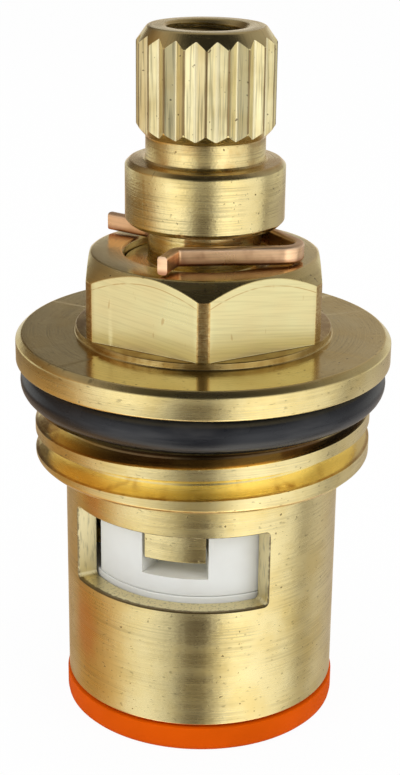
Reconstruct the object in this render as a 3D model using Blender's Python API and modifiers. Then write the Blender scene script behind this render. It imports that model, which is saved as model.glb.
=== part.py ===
"""Quarter-turn faucet cartridge with ceramic discs and a 20-tooth splined stem.

Units are metres and +Z is up. The cartridge's axis is the Z axis, and Z = 0 is the lower face of
the seat seal. An azimuth is in degrees: 0 looks towards -Y, the front, and it grows towards +X,
which is counter-clockwise seen from above. The stem is modelled in its closed position.
"""
import math

import bmesh
import bpy
from mathutils import Vector

MM = 0.001

# Clearances
FACE_GAP = 0.10 * MM
STEM_GAP = 0.08 * MM
CHAMBER_GAP = 0.15 * MM
RING_GAP = 0.10 * MM
SLOT_GAP = 0.12 * MM

# Seat seal
SEAL_LIP_HEIGHT = 1.60 * MM
SEAL_LIP_OVERHANG = 0.10 * MM
SEAL_SLEEVE_HEIGHT = 3.90 * MM
SEAL_SLEEVE_WALL = 1.95 * MM
SEAL_EDGE_ROUND = 0.40 * MM
SEAL_ROUND_STEPS = 3

# Ceramic discs
FIXED_DISC_HEIGHT = 4.20 * MM
MOVING_DISC_HEIGHT = 5.00 * MM
PORT_INNER_RADIUS = 2.30 * MM
PORT_RIM_WIDTH = 2.00 * MM
PORT_SPAN = 70.0
DISC_SOLID_SPAN = 94.0
DISC_HUB_RADIUS = 2.60 * MM
DISC_EDGE_CHAMFER = 0.20 * MM

# Keys that hold the fixed disc in the body
KEY_DEPTH = 0.85 * MM
KEY_SPAN = 24.0
KEY_TOP_CLEARANCE = 0.30 * MM

# Body, from the skirt's lower edge upwards
SKIRT_WALL = 1.25 * MM
SKIRT_LENGTH = 15.10 * MM
SKIRT_EDGE_CHAMFER = 0.15 * MM
THREAD_MAJOR_RADIUS = 10.4775 * MM
THREAD_BAND_HEIGHT = 3.80 * MM
THREAD_END_CHAMFER = 0.25 * MM
THREAD_PITCH = 1.814 * MM
THREAD_DEPTH = 1.162 * MM
THREAD_CREST_WIDTH = 0.55 * MM
THREAD_ROOT_WIDTH = 0.30 * MM
THREAD_START_DROP = 0.29 * MM
THREAD_END_RISE = 0.25 * MM
THREAD_LEAD_IN_TURNS = 0.55
THREAD_RUN_OUT_TURNS = 0.65
RING_SEAT_RADIUS = 9.05 * MM
FLANGE_OVERHANG = 0.25 * MM
FLANGE_HEIGHT = 1.77 * MM
FLANGE_TOP_CHAMFER = 0.35 * MM
FLANGE_LOWER_CHAMFER = 0.12 * MM
BOSS_HEIGHT = 0.45 * MM
HEX_HEIGHT = 4.62 * MM
HEX_SIDES = 6
HEX_ACROSS_FLATS = 14.0 * MM
HEX_CORNER_RADIUS = 7.90 * MM
HEX_TOP_FACE_RADIUS = 6.90 * MM
BORE_MOUTH_CHAMFER = 0.15 * MM

# Water windows in the skirt
WINDOW_AZIMUTH = -17.15
WINDOW_SPAN = 91.7
WINDOW_HEIGHT = 4.90 * MM
WINDOW_SILL_DROP = 0.45 * MM
WINDOW_CORNER_ROUND = 0.30 * MM

# Quarter-turn stops
TURN_RANGE = 90.0
STOP_RIB_SPAN = 20.0
STOP_RIB_DEPTH = 1.05 * MM
STOP_MARGIN = 1.5
STOP_RIB_OFFSET = 135.0

# Stem, from the drive plate upwards
LUG_AZIMUTH = -13.0
LUG_SPAN = 31.0
LUG_DEPTH = 2.15 * MM
LUG_LENGTH = 3.00 * MM
LUG_RIM_SETBACK = 0.05 * MM
LUG_SLOT_SPARE_DEPTH = 1.00 * MM
DRIVE_PLATE_HEIGHT = 2.00 * MM
WASHER_HEIGHT = 0.80 * MM
WASHER_WIDTH = 1.24 * MM
STEM_RADIUS = 4.83 * MM
STEM_RING_SECTION = 1.36 * MM
STEM_RING_GROOVE_WIDTH = 2.00 * MM
UPPER_RING_DEPTH = 3.07 * MM
RING_SPACING = 2.80 * MM
CLIP_GROOVE_DEPTH = 1.38 * MM
CLIP_GROOVE_SINK = 0.57 * MM
COLLAR_HEIGHT = 3.85 * MM
COLLAR_CHAMFER = 0.28 * MM
NECK_RADIUS = 3.60 * MM
NECK_HEIGHT = 1.45 * MM
NECK_COVE = 0.30 * MM
SPLINE_TEETH = 20
SPLINE_CREST_RADIUS = 4.15 * MM
SPLINE_ROOT_RADIUS = 3.83 * MM
SPLINE_HEIGHT = 6.43 * MM
SPLINE_LEAD_OUT = 0.62 * MM
SPLINE_TOP_FACE_RADIUS = 3.50 * MM
SPLINE_TOP_CHAMFER = 0.91 * MM
SPLINE_BLANK_SPARE = 0.05 * MM
SCREW_HOLE_RADIUS = 2.10 * MM
SCREW_HOLE_DEPTH = 12.0 * MM
SCREW_HOLE_MOUTH_RADIUS = 2.50 * MM
DRILL_POINT_ANGLE = 118.0

# Retaining clip, bent from flat wire
CLIP_HEIGHT = 1.10 * MM
CLIP_THICKNESS = 0.60 * MM
CLIP_GRIP_GAP = 0.15 * MM
CLIP_LIFT_PLAY = 0.59 * MM
CLIP_BACK_AZIMUTH = 120.0
CLIP_FRONT_AZIMUTH = 6.2
CLIP_BEND_LEAD = 12.0
CLIP_LOOP_RADIUS = 1.15 * MM
CLIP_BEND_RADIUS = 0.50 * MM
CLIP_FRONT_TAIL = 2.12 * MM
CLIP_FRONT_LEG = 2.10 * MM
CLIP_FRONT_LEG_TURN = 63.7
CLIP_BACK_LEG = 3.40 * MM
CLIP_BACK_LEG_AZIMUTH = -125.0
CLIP_BACK_LEG_LEAN = -1.7

# Flange O-ring
FLANGE_RING_SECTION = 2.20 * MM

# The windows, keys, stops, lugs, ports and passages come in pairs across the axis.
SIDES = (("front", 0.0), ("back", 180.0))

# Facets
BODY_STEPS = 64
STEM_STEPS = 48
RING_STEPS = 40
STEM_RING_SIDES = 8
FLANGE_RING_SIDES = 12
ARC_STEP = 5.0
CLIP_ROUND_STEP = 15.0
MERGE_DISTANCE = 1e-6
CUT_OVERSHOOT = 0.60 * MM

# Heights of the stack inside the body
SKIRT_END = SEAL_LIP_HEIGHT + FACE_GAP
SEAL_TOP = SKIRT_END + SEAL_SLEEVE_HEIGHT
FIXED_DISC_BOTTOM = SEAL_TOP + FACE_GAP
FIXED_DISC_TOP = FIXED_DISC_BOTTOM + FIXED_DISC_HEIGHT
MOVING_DISC_BOTTOM = FIXED_DISC_TOP + FACE_GAP
MOVING_DISC_TOP = MOVING_DISC_BOTTOM + MOVING_DISC_HEIGHT
DRIVE_PLATE_BOTTOM = MOVING_DISC_TOP + FACE_GAP
DRIVE_PLATE_TOP = DRIVE_PLATE_BOTTOM + DRIVE_PLATE_HEIGHT
WASHER_BOTTOM = DRIVE_PLATE_TOP + FACE_GAP
WASHER_TOP = WASHER_BOTTOM + WASHER_HEIGHT
CHAMBER_CEILING = WASHER_TOP + FACE_GAP

# Heights of the body's outside
THREAD_BOTTOM = SKIRT_END + SKIRT_LENGTH
THREAD_TOP = THREAD_BOTTOM + THREAD_BAND_HEIGHT
FLANGE_BOTTOM = THREAD_TOP + FLANGE_RING_SECTION + 2 * RING_GAP
FLANGE_TOP = FLANGE_BOTTOM + FLANGE_HEIGHT
BOSS_TOP = FLANGE_TOP + BOSS_HEIGHT
HEX_TOP = BOSS_TOP + HEX_HEIGHT
WINDOW_BOTTOM = MOVING_DISC_BOTTOM - WINDOW_SILL_DROP
WINDOW_TOP = WINDOW_BOTTOM + WINDOW_HEIGHT

# Heights of the stem above the hexagon
CLIP_GROOVE_BOTTOM = HEX_TOP - CLIP_GROOVE_SINK
CLIP_BOTTOM = HEX_TOP + FACE_GAP
CLIP_TOP = CLIP_BOTTOM + CLIP_HEIGHT
COLLAR_BOTTOM = CLIP_TOP + CLIP_LIFT_PLAY
COLLAR_TOP = COLLAR_BOTTOM + COLLAR_HEIGHT
SPLINE_BOTTOM = COLLAR_TOP + NECK_HEIGHT
STEM_TOP = SPLINE_BOTTOM + SPLINE_HEIGHT
UPPER_RING_HEIGHT = HEX_TOP - UPPER_RING_DEPTH
LOWER_RING_HEIGHT = UPPER_RING_HEIGHT - RING_SPACING

# Radii that follow from what fits in them
BORE_RADIUS = STEM_RADIUS + STEM_GAP
WASHER_OUTER_RADIUS = BORE_RADIUS + WASHER_WIDTH
STOP_RIB_INNER_RADIUS = WASHER_OUTER_RADIUS + CHAMBER_GAP
STOP_NOTCH_RADIUS = STOP_RIB_INNER_RADIUS - CHAMBER_GAP
CHAMBER_RADIUS = STOP_RIB_INNER_RADIUS + STOP_RIB_DEPTH
SKIRT_RADIUS = CHAMBER_RADIUS + SKIRT_WALL
DISC_RADIUS = CHAMBER_RADIUS - CHAMBER_GAP
PORT_OUTER_RADIUS = DISC_RADIUS - PORT_RIM_WIDTH
SEAL_SLEEVE_RADIUS = CHAMBER_RADIUS - RING_GAP
SEAL_BORE_RADIUS = SEAL_SLEEVE_RADIUS - SEAL_SLEEVE_WALL
STEM_RING_GROOVE_RADIUS = BORE_RADIUS - STEM_RING_SECTION - 2 * RING_GAP
STEM_RING_CENTRE_RADIUS = BORE_RADIUS - RING_GAP - STEM_RING_SECTION / 2
FLANGE_RING_CENTRE_RADIUS = RING_SEAT_RADIUS + RING_GAP + FLANGE_RING_SECTION / 2
FLANGE_RADIUS = FLANGE_RING_CENTRE_RADIUS + FLANGE_RING_SECTION / 2 + FLANGE_OVERHANG
KEY_INNER_RADIUS = CHAMBER_RADIUS - KEY_DEPTH
KEY_NOTCH_RADIUS = KEY_INNER_RADIUS - CHAMBER_GAP
LUG_OUTER_RADIUS = DISC_RADIUS - LUG_RIM_SETBACK
LUG_INNER_RADIUS = LUG_OUTER_RADIUS - LUG_DEPTH
LUG_SLOT_RADIUS = LUG_INNER_RADIUS - SLOT_GAP
CLIP_GROOVE_RADIUS = STEM_RADIUS - CLIP_GROOVE_DEPTH
CLIP_GRIP_RADIUS = CLIP_GROOVE_RADIUS + CLIP_GRIP_GAP + CLIP_THICKNESS / 2

# Colours as red, green and blue in linear light
BRASS = (0.62, 0.46, 0.17)
COPPER = (0.60, 0.29, 0.17)
CERAMIC = (0.80, 0.80, 0.81)
ORANGE_SILICONE = (0.75, 0.09, 0.0)
BLACK_RUBBER = (0.012, 0.013, 0.016)
WHITE_ACETAL = (0.70, 0.68, 0.62)


def remove_everything():
    for item in list(bpy.data.objects):
        bpy.data.objects.remove(item, do_unlink=True)


def collection(name):
    group = bpy.data.collections.new(name)
    bpy.context.scene.collection.children.link(group)
    return group


def finish(name, colour, roughness, metallic):
    material = bpy.data.materials.new(name)
    material.use_nodes = True
    shader = material.node_tree.nodes["Principled BSDF"]
    shader.inputs["Base Color"].default_value = (*colour, 1.0)
    shader.inputs["Roughness"].default_value = roughness
    shader.inputs["Metallic"].default_value = metallic
    return material


def at(radius, azimuth):
    angle = math.radians(azimuth)
    return (radius * math.sin(angle), -radius * math.cos(angle))


def arc(radius, start, end):
    """Points along an arc about the axis, from one azimuth to another."""
    count = max(2, math.ceil(abs(end - start) / ARC_STEP) + 1)
    return [at(radius, start + (end - start) * i / (count - 1)) for i in range(count)]


def sector(inner, outer, azimuth, span):
    """A piece of a ring, seen from above."""
    first = azimuth - span / 2
    last = azimuth + span / 2
    return arc(outer, first, last) + arc(inner, last, first)


def mesh_object(name, mesh, group):
    item = bpy.data.objects.new(name, mesh)
    group.objects.link(item)
    return item


def turned(name, profile, steps, group):
    """A turned shape. The profile's (radius, height) points run down its outer side."""
    on_axis = profile[0][0] == 0 and profile[-1][0] == 0
    mesh = bpy.data.meshes.new(name)
    edges = [(i, i + 1) for i in range(len(profile) - 1)]
    if not on_axis:
        edges.append((len(profile) - 1, 0))
    mesh.from_pydata([(radius, 0.0, height) for radius, height in profile], edges, [])
    item = mesh_object(name, mesh, group)
    screw = item.modifiers.new("Turning", "SCREW")
    screw.axis = "Z"
    screw.steps = steps
    screw.render_steps = steps
    screw.use_merge_vertices = True
    screw.merge_threshold = MERGE_DISTANCE
    return item


def flat_solid(name, outlines, bottom, top, group):
    """A flat plate between two heights, cut to closed outlines, as a mesh."""
    curve = bpy.data.curves.new(name, "CURVE")
    curve.dimensions = "2D"
    curve.fill_mode = "BOTH"
    curve.extrude = (top - bottom) / 2
    for outline in outlines:
        spline = curve.splines.new("POLY")
        spline.points.add(len(outline) - 1)
        for point, (x, y) in zip(spline.points, outline):
            point.co = (x, y, 0.0, 1.0)
        spline.use_cyclic_u = True
    drawn = bpy.data.objects.new(name + "_outline", curve)
    drawn.location.z = (bottom + top) / 2
    group.objects.link(drawn)
    bpy.context.view_layer.update()
    evaluated = drawn.evaluated_get(bpy.context.evaluated_depsgraph_get())
    mesh = bpy.data.meshes.new_from_object(evaluated)
    weld(mesh)
    item = mesh_object(name, mesh, group)
    item.matrix_world = drawn.matrix_world
    bpy.data.objects.remove(drawn, do_unlink=True)
    return item


def weld(mesh):
    work = bmesh.new()
    work.from_mesh(mesh)
    bmesh.ops.remove_doubles(work, verts=work.verts, dist=MERGE_DISTANCE)
    bmesh.ops.recalc_face_normals(work, faces=work.faces)
    work.to_mesh(mesh)
    work.free()


def use_as_tool(tool):
    tool.hide_render = True
    tool.display_type = "WIRE"


def combine(item, tool, operation):
    use_as_tool(tool)
    step = item.modifiers.new(tool.name, "BOOLEAN")
    step.operation = operation
    step.solver = "EXACT"
    step.object = tool


def settle(item, material, sharp_angle):
    """Turns the modifiers' result into the object's own mesh, shaded smooth between sharp edges."""
    bpy.context.view_layer.update()
    evaluated = item.evaluated_get(bpy.context.evaluated_depsgraph_get())
    mesh = bpy.data.meshes.new_from_object(evaluated)
    item.modifiers.clear()
    item.data = mesh
    mesh.name = item.name
    mesh.shade_smooth()
    mesh.set_sharp_from_angle(angle=math.radians(sharp_angle))
    mesh.materials.clear()
    mesh.materials.append(material)


def make_body(parts, tools):
    corner_fall = HEX_CORNER_RADIUS - HEX_TOP_FACE_RADIUS
    profile = [
        (BORE_RADIUS + BORE_MOUTH_CHAMFER, HEX_TOP),
        (HEX_TOP_FACE_RADIUS, HEX_TOP),
        (HEX_CORNER_RADIUS, HEX_TOP - corner_fall),
        (HEX_CORNER_RADIUS, FLANGE_TOP),
        (FLANGE_RADIUS - FLANGE_TOP_CHAMFER, FLANGE_TOP),
        (FLANGE_RADIUS, FLANGE_TOP - FLANGE_TOP_CHAMFER),
        (FLANGE_RADIUS, FLANGE_BOTTOM + FLANGE_LOWER_CHAMFER),
        (FLANGE_RADIUS - FLANGE_LOWER_CHAMFER, FLANGE_BOTTOM),
        (RING_SEAT_RADIUS, FLANGE_BOTTOM),
        (RING_SEAT_RADIUS, THREAD_TOP),
        (THREAD_MAJOR_RADIUS - THREAD_END_CHAMFER, THREAD_TOP),
        (THREAD_MAJOR_RADIUS, THREAD_TOP - THREAD_END_CHAMFER),
        (THREAD_MAJOR_RADIUS, THREAD_BOTTOM + THREAD_END_CHAMFER),
        (THREAD_MAJOR_RADIUS - THREAD_END_CHAMFER, THREAD_BOTTOM),
        (SKIRT_RADIUS, THREAD_BOTTOM),
        (SKIRT_RADIUS, SKIRT_END + SKIRT_EDGE_CHAMFER),
        (SKIRT_RADIUS - SKIRT_EDGE_CHAMFER, SKIRT_END),
        (CHAMBER_RADIUS, SKIRT_END),
        (CHAMBER_RADIUS, CHAMBER_CEILING),
        (BORE_RADIUS, CHAMBER_CEILING),
        (BORE_RADIUS, HEX_TOP - BORE_MOUTH_CHAMFER),
    ]
    body = turned("body", profile, BODY_STEPS, parts)
    combine(body, thread_groove("thread_groove", tools), "DIFFERENCE")

    corner_radius = HEX_ACROSS_FLATS / 2 / math.cos(math.pi / HEX_SIDES)
    hexagon = [at(corner_radius, 360 * i / HEX_SIDES) for i in range(HEX_SIDES)]
    clear_round = arc(HEX_CORNER_RADIUS + 2 * CUT_OVERSHOOT, 0, 360)[:-1]
    spanner_cut = flat_solid("hexagon_cut", [clear_round, hexagon], BOSS_TOP,
                             HEX_TOP + CUT_OVERSHOOT, tools)
    combine(body, spanner_cut, "DIFFERENCE")

    for name, side in SIDES:
        opening = sector(CHAMBER_RADIUS - CUT_OVERSHOOT, SKIRT_RADIUS + CUT_OVERSHOOT,
                         WINDOW_AZIMUTH + side, WINDOW_SPAN)
        window = flat_solid("window_cut_" + name, [opening], WINDOW_BOTTOM, WINDOW_TOP, tools)
        corners = window.modifiers.new("Corner rounds", "BEVEL")
        corners.width = WINDOW_CORNER_ROUND
        corners.segments = 2
        corners.limit_method = "ANGLE"
        corners.angle_limit = math.radians(60)
        combine(body, window, "DIFFERENCE")

        stop = flat_solid("stop_rib_" + name,
                          [sector(STOP_RIB_INNER_RADIUS, CHAMBER_RADIUS + SKIRT_WALL / 2,
                                  LUG_AZIMUTH + STOP_RIB_OFFSET + side, STOP_RIB_SPAN)],
                          DRIVE_PLATE_BOTTOM, CHAMBER_CEILING + SKIRT_WALL / 2, tools)
        combine(body, stop, "UNION")

        key = flat_solid("disc_key_" + name,
                         [sector(KEY_INNER_RADIUS, CHAMBER_RADIUS + SKIRT_WALL / 2,
                                 WINDOW_AZIMUTH + 90 + side, KEY_SPAN)],
                         FIXED_DISC_BOTTOM, FIXED_DISC_TOP - KEY_TOP_CLEARANCE, tools)
        combine(body, key, "UNION")

    settle(body, finish("body_brass", BRASS, 0.28, 1.0), 30.0)


def thread_groove(name, group):
    """The right-hand thread's groove, swept along its helix from under the band to above it.

    It starts at the front and deepens over its lead-in, and it ends by getting shallower again.
    """
    half_mouth = (THREAD_PITCH - THREAD_CREST_WIDTH) / 2
    half_root = THREAD_ROOT_WIDTH / 2
    outline = bpy.data.curves.new(name + "_outline", "CURVE")
    outline.dimensions = "2D"
    edge = outline.splines.new("POLY")
    corners = ((CUT_OVERSHOOT, half_mouth), (0.0, half_mouth), (-THREAD_DEPTH, half_root),
               (-THREAD_DEPTH, -half_root), (0.0, -half_mouth), (CUT_OVERSHOOT, -half_mouth))
    edge.points.add(len(corners) - 1)
    for point, (outward, up) in zip(edge.points, corners):
        point.co = (outward, up, 0.0, 1.0)
    edge.use_cyclic_u = True
    section = bpy.data.objects.new(name + "_outline", outline)
    group.objects.link(section)

    lowest = THREAD_BOTTOM - THREAD_START_DROP
    turns = (THREAD_TOP + THREAD_END_RISE - lowest) / THREAD_PITCH
    steps = math.ceil(turns * BODY_STEPS)
    curve = bpy.data.curves.new(name, "CURVE")
    curve.dimensions = "3D"
    curve.twist_mode = "Z_UP"
    helix = curve.splines.new("POLY")
    helix.points.add(steps)
    for i, point in enumerate(helix.points):
        turn = i / BODY_STEPS
        depth_share = min(1.0, turn / THREAD_LEAD_IN_TURNS,
                          (steps - i) / BODY_STEPS / THREAD_RUN_OUT_TURNS)
        x, y = at(THREAD_MAJOR_RADIUS + THREAD_DEPTH * (1 - depth_share), 360 * turn)
        point.co = (x, y, lowest + THREAD_PITCH * turn, 1.0)
    curve.bevel_mode = "OBJECT"
    curve.bevel_object = section
    curve.use_fill_caps = True
    swept = bpy.data.objects.new(name + "_path", curve)
    group.objects.link(swept)
    bpy.context.view_layer.update()
    evaluated = swept.evaluated_get(bpy.context.evaluated_depsgraph_get())
    mesh = bpy.data.meshes.new_from_object(evaluated)
    weld(mesh)
    for drawn in (swept, section):
        bpy.data.objects.remove(drawn, do_unlink=True)
    return mesh_object(name, mesh, group)


def ring_groove(height):
    """The stem's profile across one O-ring groove, top to bottom."""
    half = STEM_RING_GROOVE_WIDTH / 2
    return [
        (STEM_RADIUS, height + half),
        (STEM_RING_GROOVE_RADIUS, height + half),
        (STEM_RING_GROOVE_RADIUS, height - half),
        (STEM_RADIUS, height - half),
    ]


def make_stem(parts, tools):
    # The blank's head is a little over size, and the spline cut trims it to the crests.
    lead_slope = SPLINE_LEAD_OUT / (SPLINE_CREST_RADIUS - NECK_RADIUS)
    top_slope = SPLINE_TOP_CHAMFER / (SPLINE_CREST_RADIUS - SPLINE_TOP_FACE_RADIUS)
    blank_radius = SPLINE_CREST_RADIUS + SPLINE_BLANK_SPARE
    drill_point = SCREW_HOLE_RADIUS / math.tan(math.radians(DRILL_POINT_ANGLE / 2))
    mouth_depth = SCREW_HOLE_MOUTH_RADIUS - SCREW_HOLE_RADIUS
    hole_floor = STEM_TOP - SCREW_HOLE_DEPTH
    profile = [
        (0.0, hole_floor - drill_point),
        (SCREW_HOLE_RADIUS, hole_floor),
        (SCREW_HOLE_RADIUS, STEM_TOP - mouth_depth),
        (SCREW_HOLE_MOUTH_RADIUS, STEM_TOP),
        (SPLINE_TOP_FACE_RADIUS, STEM_TOP),
        (blank_radius, STEM_TOP - SPLINE_TOP_CHAMFER - SPLINE_BLANK_SPARE * top_slope),
        (blank_radius, SPLINE_BOTTOM + SPLINE_LEAD_OUT + SPLINE_BLANK_SPARE * lead_slope),
        (NECK_RADIUS, SPLINE_BOTTOM),
        (NECK_RADIUS, COLLAR_TOP + NECK_COVE),
        (NECK_RADIUS + NECK_COVE, COLLAR_TOP),
        (STEM_RADIUS - COLLAR_CHAMFER, COLLAR_TOP),
        (STEM_RADIUS, COLLAR_TOP - COLLAR_CHAMFER),
        (STEM_RADIUS, COLLAR_BOTTOM + COLLAR_CHAMFER),
        (STEM_RADIUS - COLLAR_CHAMFER, COLLAR_BOTTOM),
        (CLIP_GROOVE_RADIUS, COLLAR_BOTTOM),
        (CLIP_GROOVE_RADIUS, CLIP_GROOVE_BOTTOM),
        (STEM_RADIUS, CLIP_GROOVE_BOTTOM),
        *ring_groove(UPPER_RING_HEIGHT),
        *ring_groove(LOWER_RING_HEIGHT),
        (STEM_RADIUS, DRIVE_PLATE_TOP),
        (DISC_RADIUS, DRIVE_PLATE_TOP),
        (DISC_RADIUS, DRIVE_PLATE_BOTTOM),
        (0.0, DRIVE_PLATE_BOTTOM),
    ]
    stem = turned("stem", profile, STEM_STEPS, parts)

    pitch = 360 / SPLINE_TEETH
    teeth = []
    for tooth in range(SPLINE_TEETH):
        teeth.append(at(SPLINE_CREST_RADIUS, tooth * pitch))
        teeth.append(at(SPLINE_ROOT_RADIUS, (tooth + 0.5) * pitch))
    clear_round = arc(SPLINE_CREST_RADIUS + 2 * CUT_OVERSHOOT, 0, 360)[:-1]
    spline_cut = flat_solid("spline_cut", [clear_round, teeth], SPLINE_BOTTOM - CUT_OVERSHOOT,
                            STEM_TOP + CUT_OVERSHOOT, tools)
    combine(stem, spline_cut, "DIFFERENCE")

    notch_span = TURN_RANGE + STOP_RIB_SPAN + 2 * STOP_MARGIN
    notch_azimuth = STOP_RIB_OFFSET - TURN_RANGE / 2
    for name, side in SIDES:
        notch = flat_solid("stop_notch_" + name,
                           [sector(STOP_NOTCH_RADIUS, DISC_RADIUS + CUT_OVERSHOOT,
                                   LUG_AZIMUTH + notch_azimuth + side, notch_span)],
                           DRIVE_PLATE_BOTTOM - CUT_OVERSHOOT,
                           DRIVE_PLATE_TOP + CUT_OVERSHOOT, tools)
        combine(stem, notch, "DIFFERENCE")
        lug = flat_solid("drive_lug_" + name,
                         [sector(LUG_INNER_RADIUS, LUG_OUTER_RADIUS, LUG_AZIMUTH + side,
                                 LUG_SPAN)],
                         DRIVE_PLATE_BOTTOM - LUG_LENGTH,
                         DRIVE_PLATE_BOTTOM + DRIVE_PLATE_HEIGHT / 2, tools)
        combine(stem, lug, "UNION")

    settle(stem, finish("stem_brass", BRASS, 0.26, 1.0), 16.0)


def rounded(before, corner, after, radius):
    """The points of a round of the given radius in a path's corner."""
    corner = Vector(corner)
    back = (Vector(before) - corner).normalized()
    ahead = (Vector(after) - corner).normalized()
    half = back.angle(ahead) / 2
    reach = radius / math.tan(half)
    centre = corner + (back + ahead).normalized() * radius / math.sin(half)
    first = corner + back * reach - centre
    last = corner + ahead * reach - centre
    turn = math.atan2(first.x * last.y - first.y * last.x, first.dot(last))
    count = max(3, math.ceil(abs(math.degrees(turn)) / CLIP_ROUND_STEP))
    points = []
    for i in range(count + 1):
        angle = turn * i / count
        spoke = Vector((first.x * math.cos(angle) - first.y * math.sin(angle),
                        first.x * math.sin(angle) + first.y * math.cos(angle)))
        points.append(centre + spoke)
    return points


def ribbon(path, width):
    """The outline of a strip of even width along an open path."""
    left = []
    right = []
    for i, point in enumerate(path):
        before = path[max(i - 1, 0)]
        after = path[min(i + 1, len(path) - 1)]
        came = (point - before).normalized() if i > 0 else (after - point).normalized()
        goes = (after - point).normalized() if i < len(path) - 1 else came
        along = (came + goes).normalized()
        side = Vector((-along.y, along.x)) * (width / 2) / along.dot(came)
        left.append(point + side)
        right.append(point - side)
    return [tuple(p) for p in left + right[::-1]]


def clip_path():
    """The flat wire's middle line, seen from above, from the back leg round to the front leg."""
    back_turn = math.radians(CLIP_BACK_LEG_AZIMUTH + CLIP_BACK_LEG_LEAN)
    back_corner = Vector(at(CLIP_GRIP_RADIUS, CLIP_BACK_LEG_AZIMUTH))
    back_tip = back_corner + Vector((math.sin(back_turn), -math.cos(back_turn))) * CLIP_BACK_LEG

    # The wire hugs the groove behind the stem, and both of its ends leave it along tangents.
    hug = arc(CLIP_GRIP_RADIUS, CLIP_BACK_LEG_AZIMUTH - CLIP_BEND_LEAD, CLIP_BACK_AZIMUTH - 360)
    half_wrap = (CLIP_BACK_AZIMUTH - CLIP_FRONT_AZIMUTH) / 2
    loop_corner = Vector(at(CLIP_GRIP_RADIUS / math.cos(math.radians(half_wrap)),
                            CLIP_FRONT_AZIMUTH + half_wrap))

    slant = math.radians(CLIP_FRONT_AZIMUTH)
    leftwards = Vector((-math.cos(slant), -math.sin(slant)))
    front_corner = Vector(at(CLIP_GRIP_RADIUS, CLIP_FRONT_AZIMUTH)) + leftwards * CLIP_FRONT_TAIL
    leg = math.radians(CLIP_FRONT_AZIMUTH + CLIP_FRONT_LEG_TURN)
    front_tip = front_corner + Vector((-math.cos(leg), -math.sin(leg))) * CLIP_FRONT_LEG

    path = [back_tip]
    path += rounded(back_tip, back_corner, hug[0], CLIP_BEND_RADIUS)
    path += [Vector(point) for point in hug]
    path += rounded(hug[-1], loop_corner, front_corner, CLIP_LOOP_RADIUS)
    path += rounded(loop_corner, front_corner, front_tip, CLIP_BEND_RADIUS)
    path.append(front_tip)
    return path


def make_retaining_clip(parts):
    clip = flat_solid("retaining_clip", [ribbon(clip_path(), CLIP_THICKNESS)],
                      CLIP_BOTTOM, CLIP_TOP, parts)
    settle(clip, finish("phosphor_bronze", COPPER, 0.32, 1.0), 30.0)


def make_o_ring(name, centre_radius, height, section, sides, parts):
    profile = []
    for i in range(sides):
        angle = math.radians(90 - 360 * i / sides)
        profile.append((centre_radius + section / 2 * math.cos(angle),
                        height + section / 2 * math.sin(angle)))
    ring = turned(name, profile, RING_STEPS, parts)
    settle(ring, finish(name + "_rubber", BLACK_RUBBER, 0.42, 0.0), 60.0)


def make_thrust_washer(parts):
    profile = [
        (WASHER_OUTER_RADIUS, WASHER_TOP),
        (WASHER_OUTER_RADIUS, WASHER_BOTTOM),
        (BORE_RADIUS, WASHER_BOTTOM),
        (BORE_RADIUS, WASHER_TOP),
    ]
    washer = turned("thrust_washer", profile, RING_STEPS, parts)
    settle(washer, finish("acetal", WHITE_ACETAL, 0.45, 0.0), 30.0)


def disc_blank(name, bottom, top, parts):
    """A round ceramic disc with broken edges."""
    profile = [
        (0.0, top),
        (DISC_RADIUS - DISC_EDGE_CHAMFER, top),
        (DISC_RADIUS, top - DISC_EDGE_CHAMFER),
        (DISC_RADIUS, bottom + DISC_EDGE_CHAMFER),
        (DISC_RADIUS - DISC_EDGE_CHAMFER, bottom),
        (0.0, bottom),
    ]
    return turned(name, profile, BODY_STEPS, parts)


def cut_through_disc(disc, name, outline, bottom, top, tools):
    cutter = flat_solid(name, [outline], bottom - CUT_OVERSHOOT, top + CUT_OVERSHOOT, tools)
    combine(disc, cutter, "DIFFERENCE")


def make_moving_disc(parts, tools):
    """Two solid wings, slotted for the lugs, with open water passages between them."""
    disc = disc_blank("moving_disc", MOVING_DISC_BOTTOM, MOVING_DISC_TOP, parts)
    outside = DISC_RADIUS + CUT_OVERSHOOT
    passage_span = 180 - DISC_SOLID_SPAN
    slot_floor = DRIVE_PLATE_BOTTOM - LUG_LENGTH - LUG_SLOT_SPARE_DEPTH
    slot_span = LUG_SPAN + 2 * math.degrees(SLOT_GAP / LUG_INNER_RADIUS)
    for name, side in SIDES:
        passage = sector(DISC_HUB_RADIUS, outside, LUG_AZIMUTH + 90 + side, passage_span)
        cut_through_disc(disc, "passage_" + name, passage, MOVING_DISC_BOTTOM, MOVING_DISC_TOP,
                         tools)
        slot = flat_solid("lug_slot_" + name,
                          [sector(LUG_SLOT_RADIUS, outside, LUG_AZIMUTH + side, slot_span)],
                          slot_floor, MOVING_DISC_TOP + CUT_OVERSHOOT, tools)
        combine(disc, slot, "DIFFERENCE")
    settle(disc, finish("moving_ceramic", CERAMIC, 0.30, 0.0), 30.0)


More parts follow.
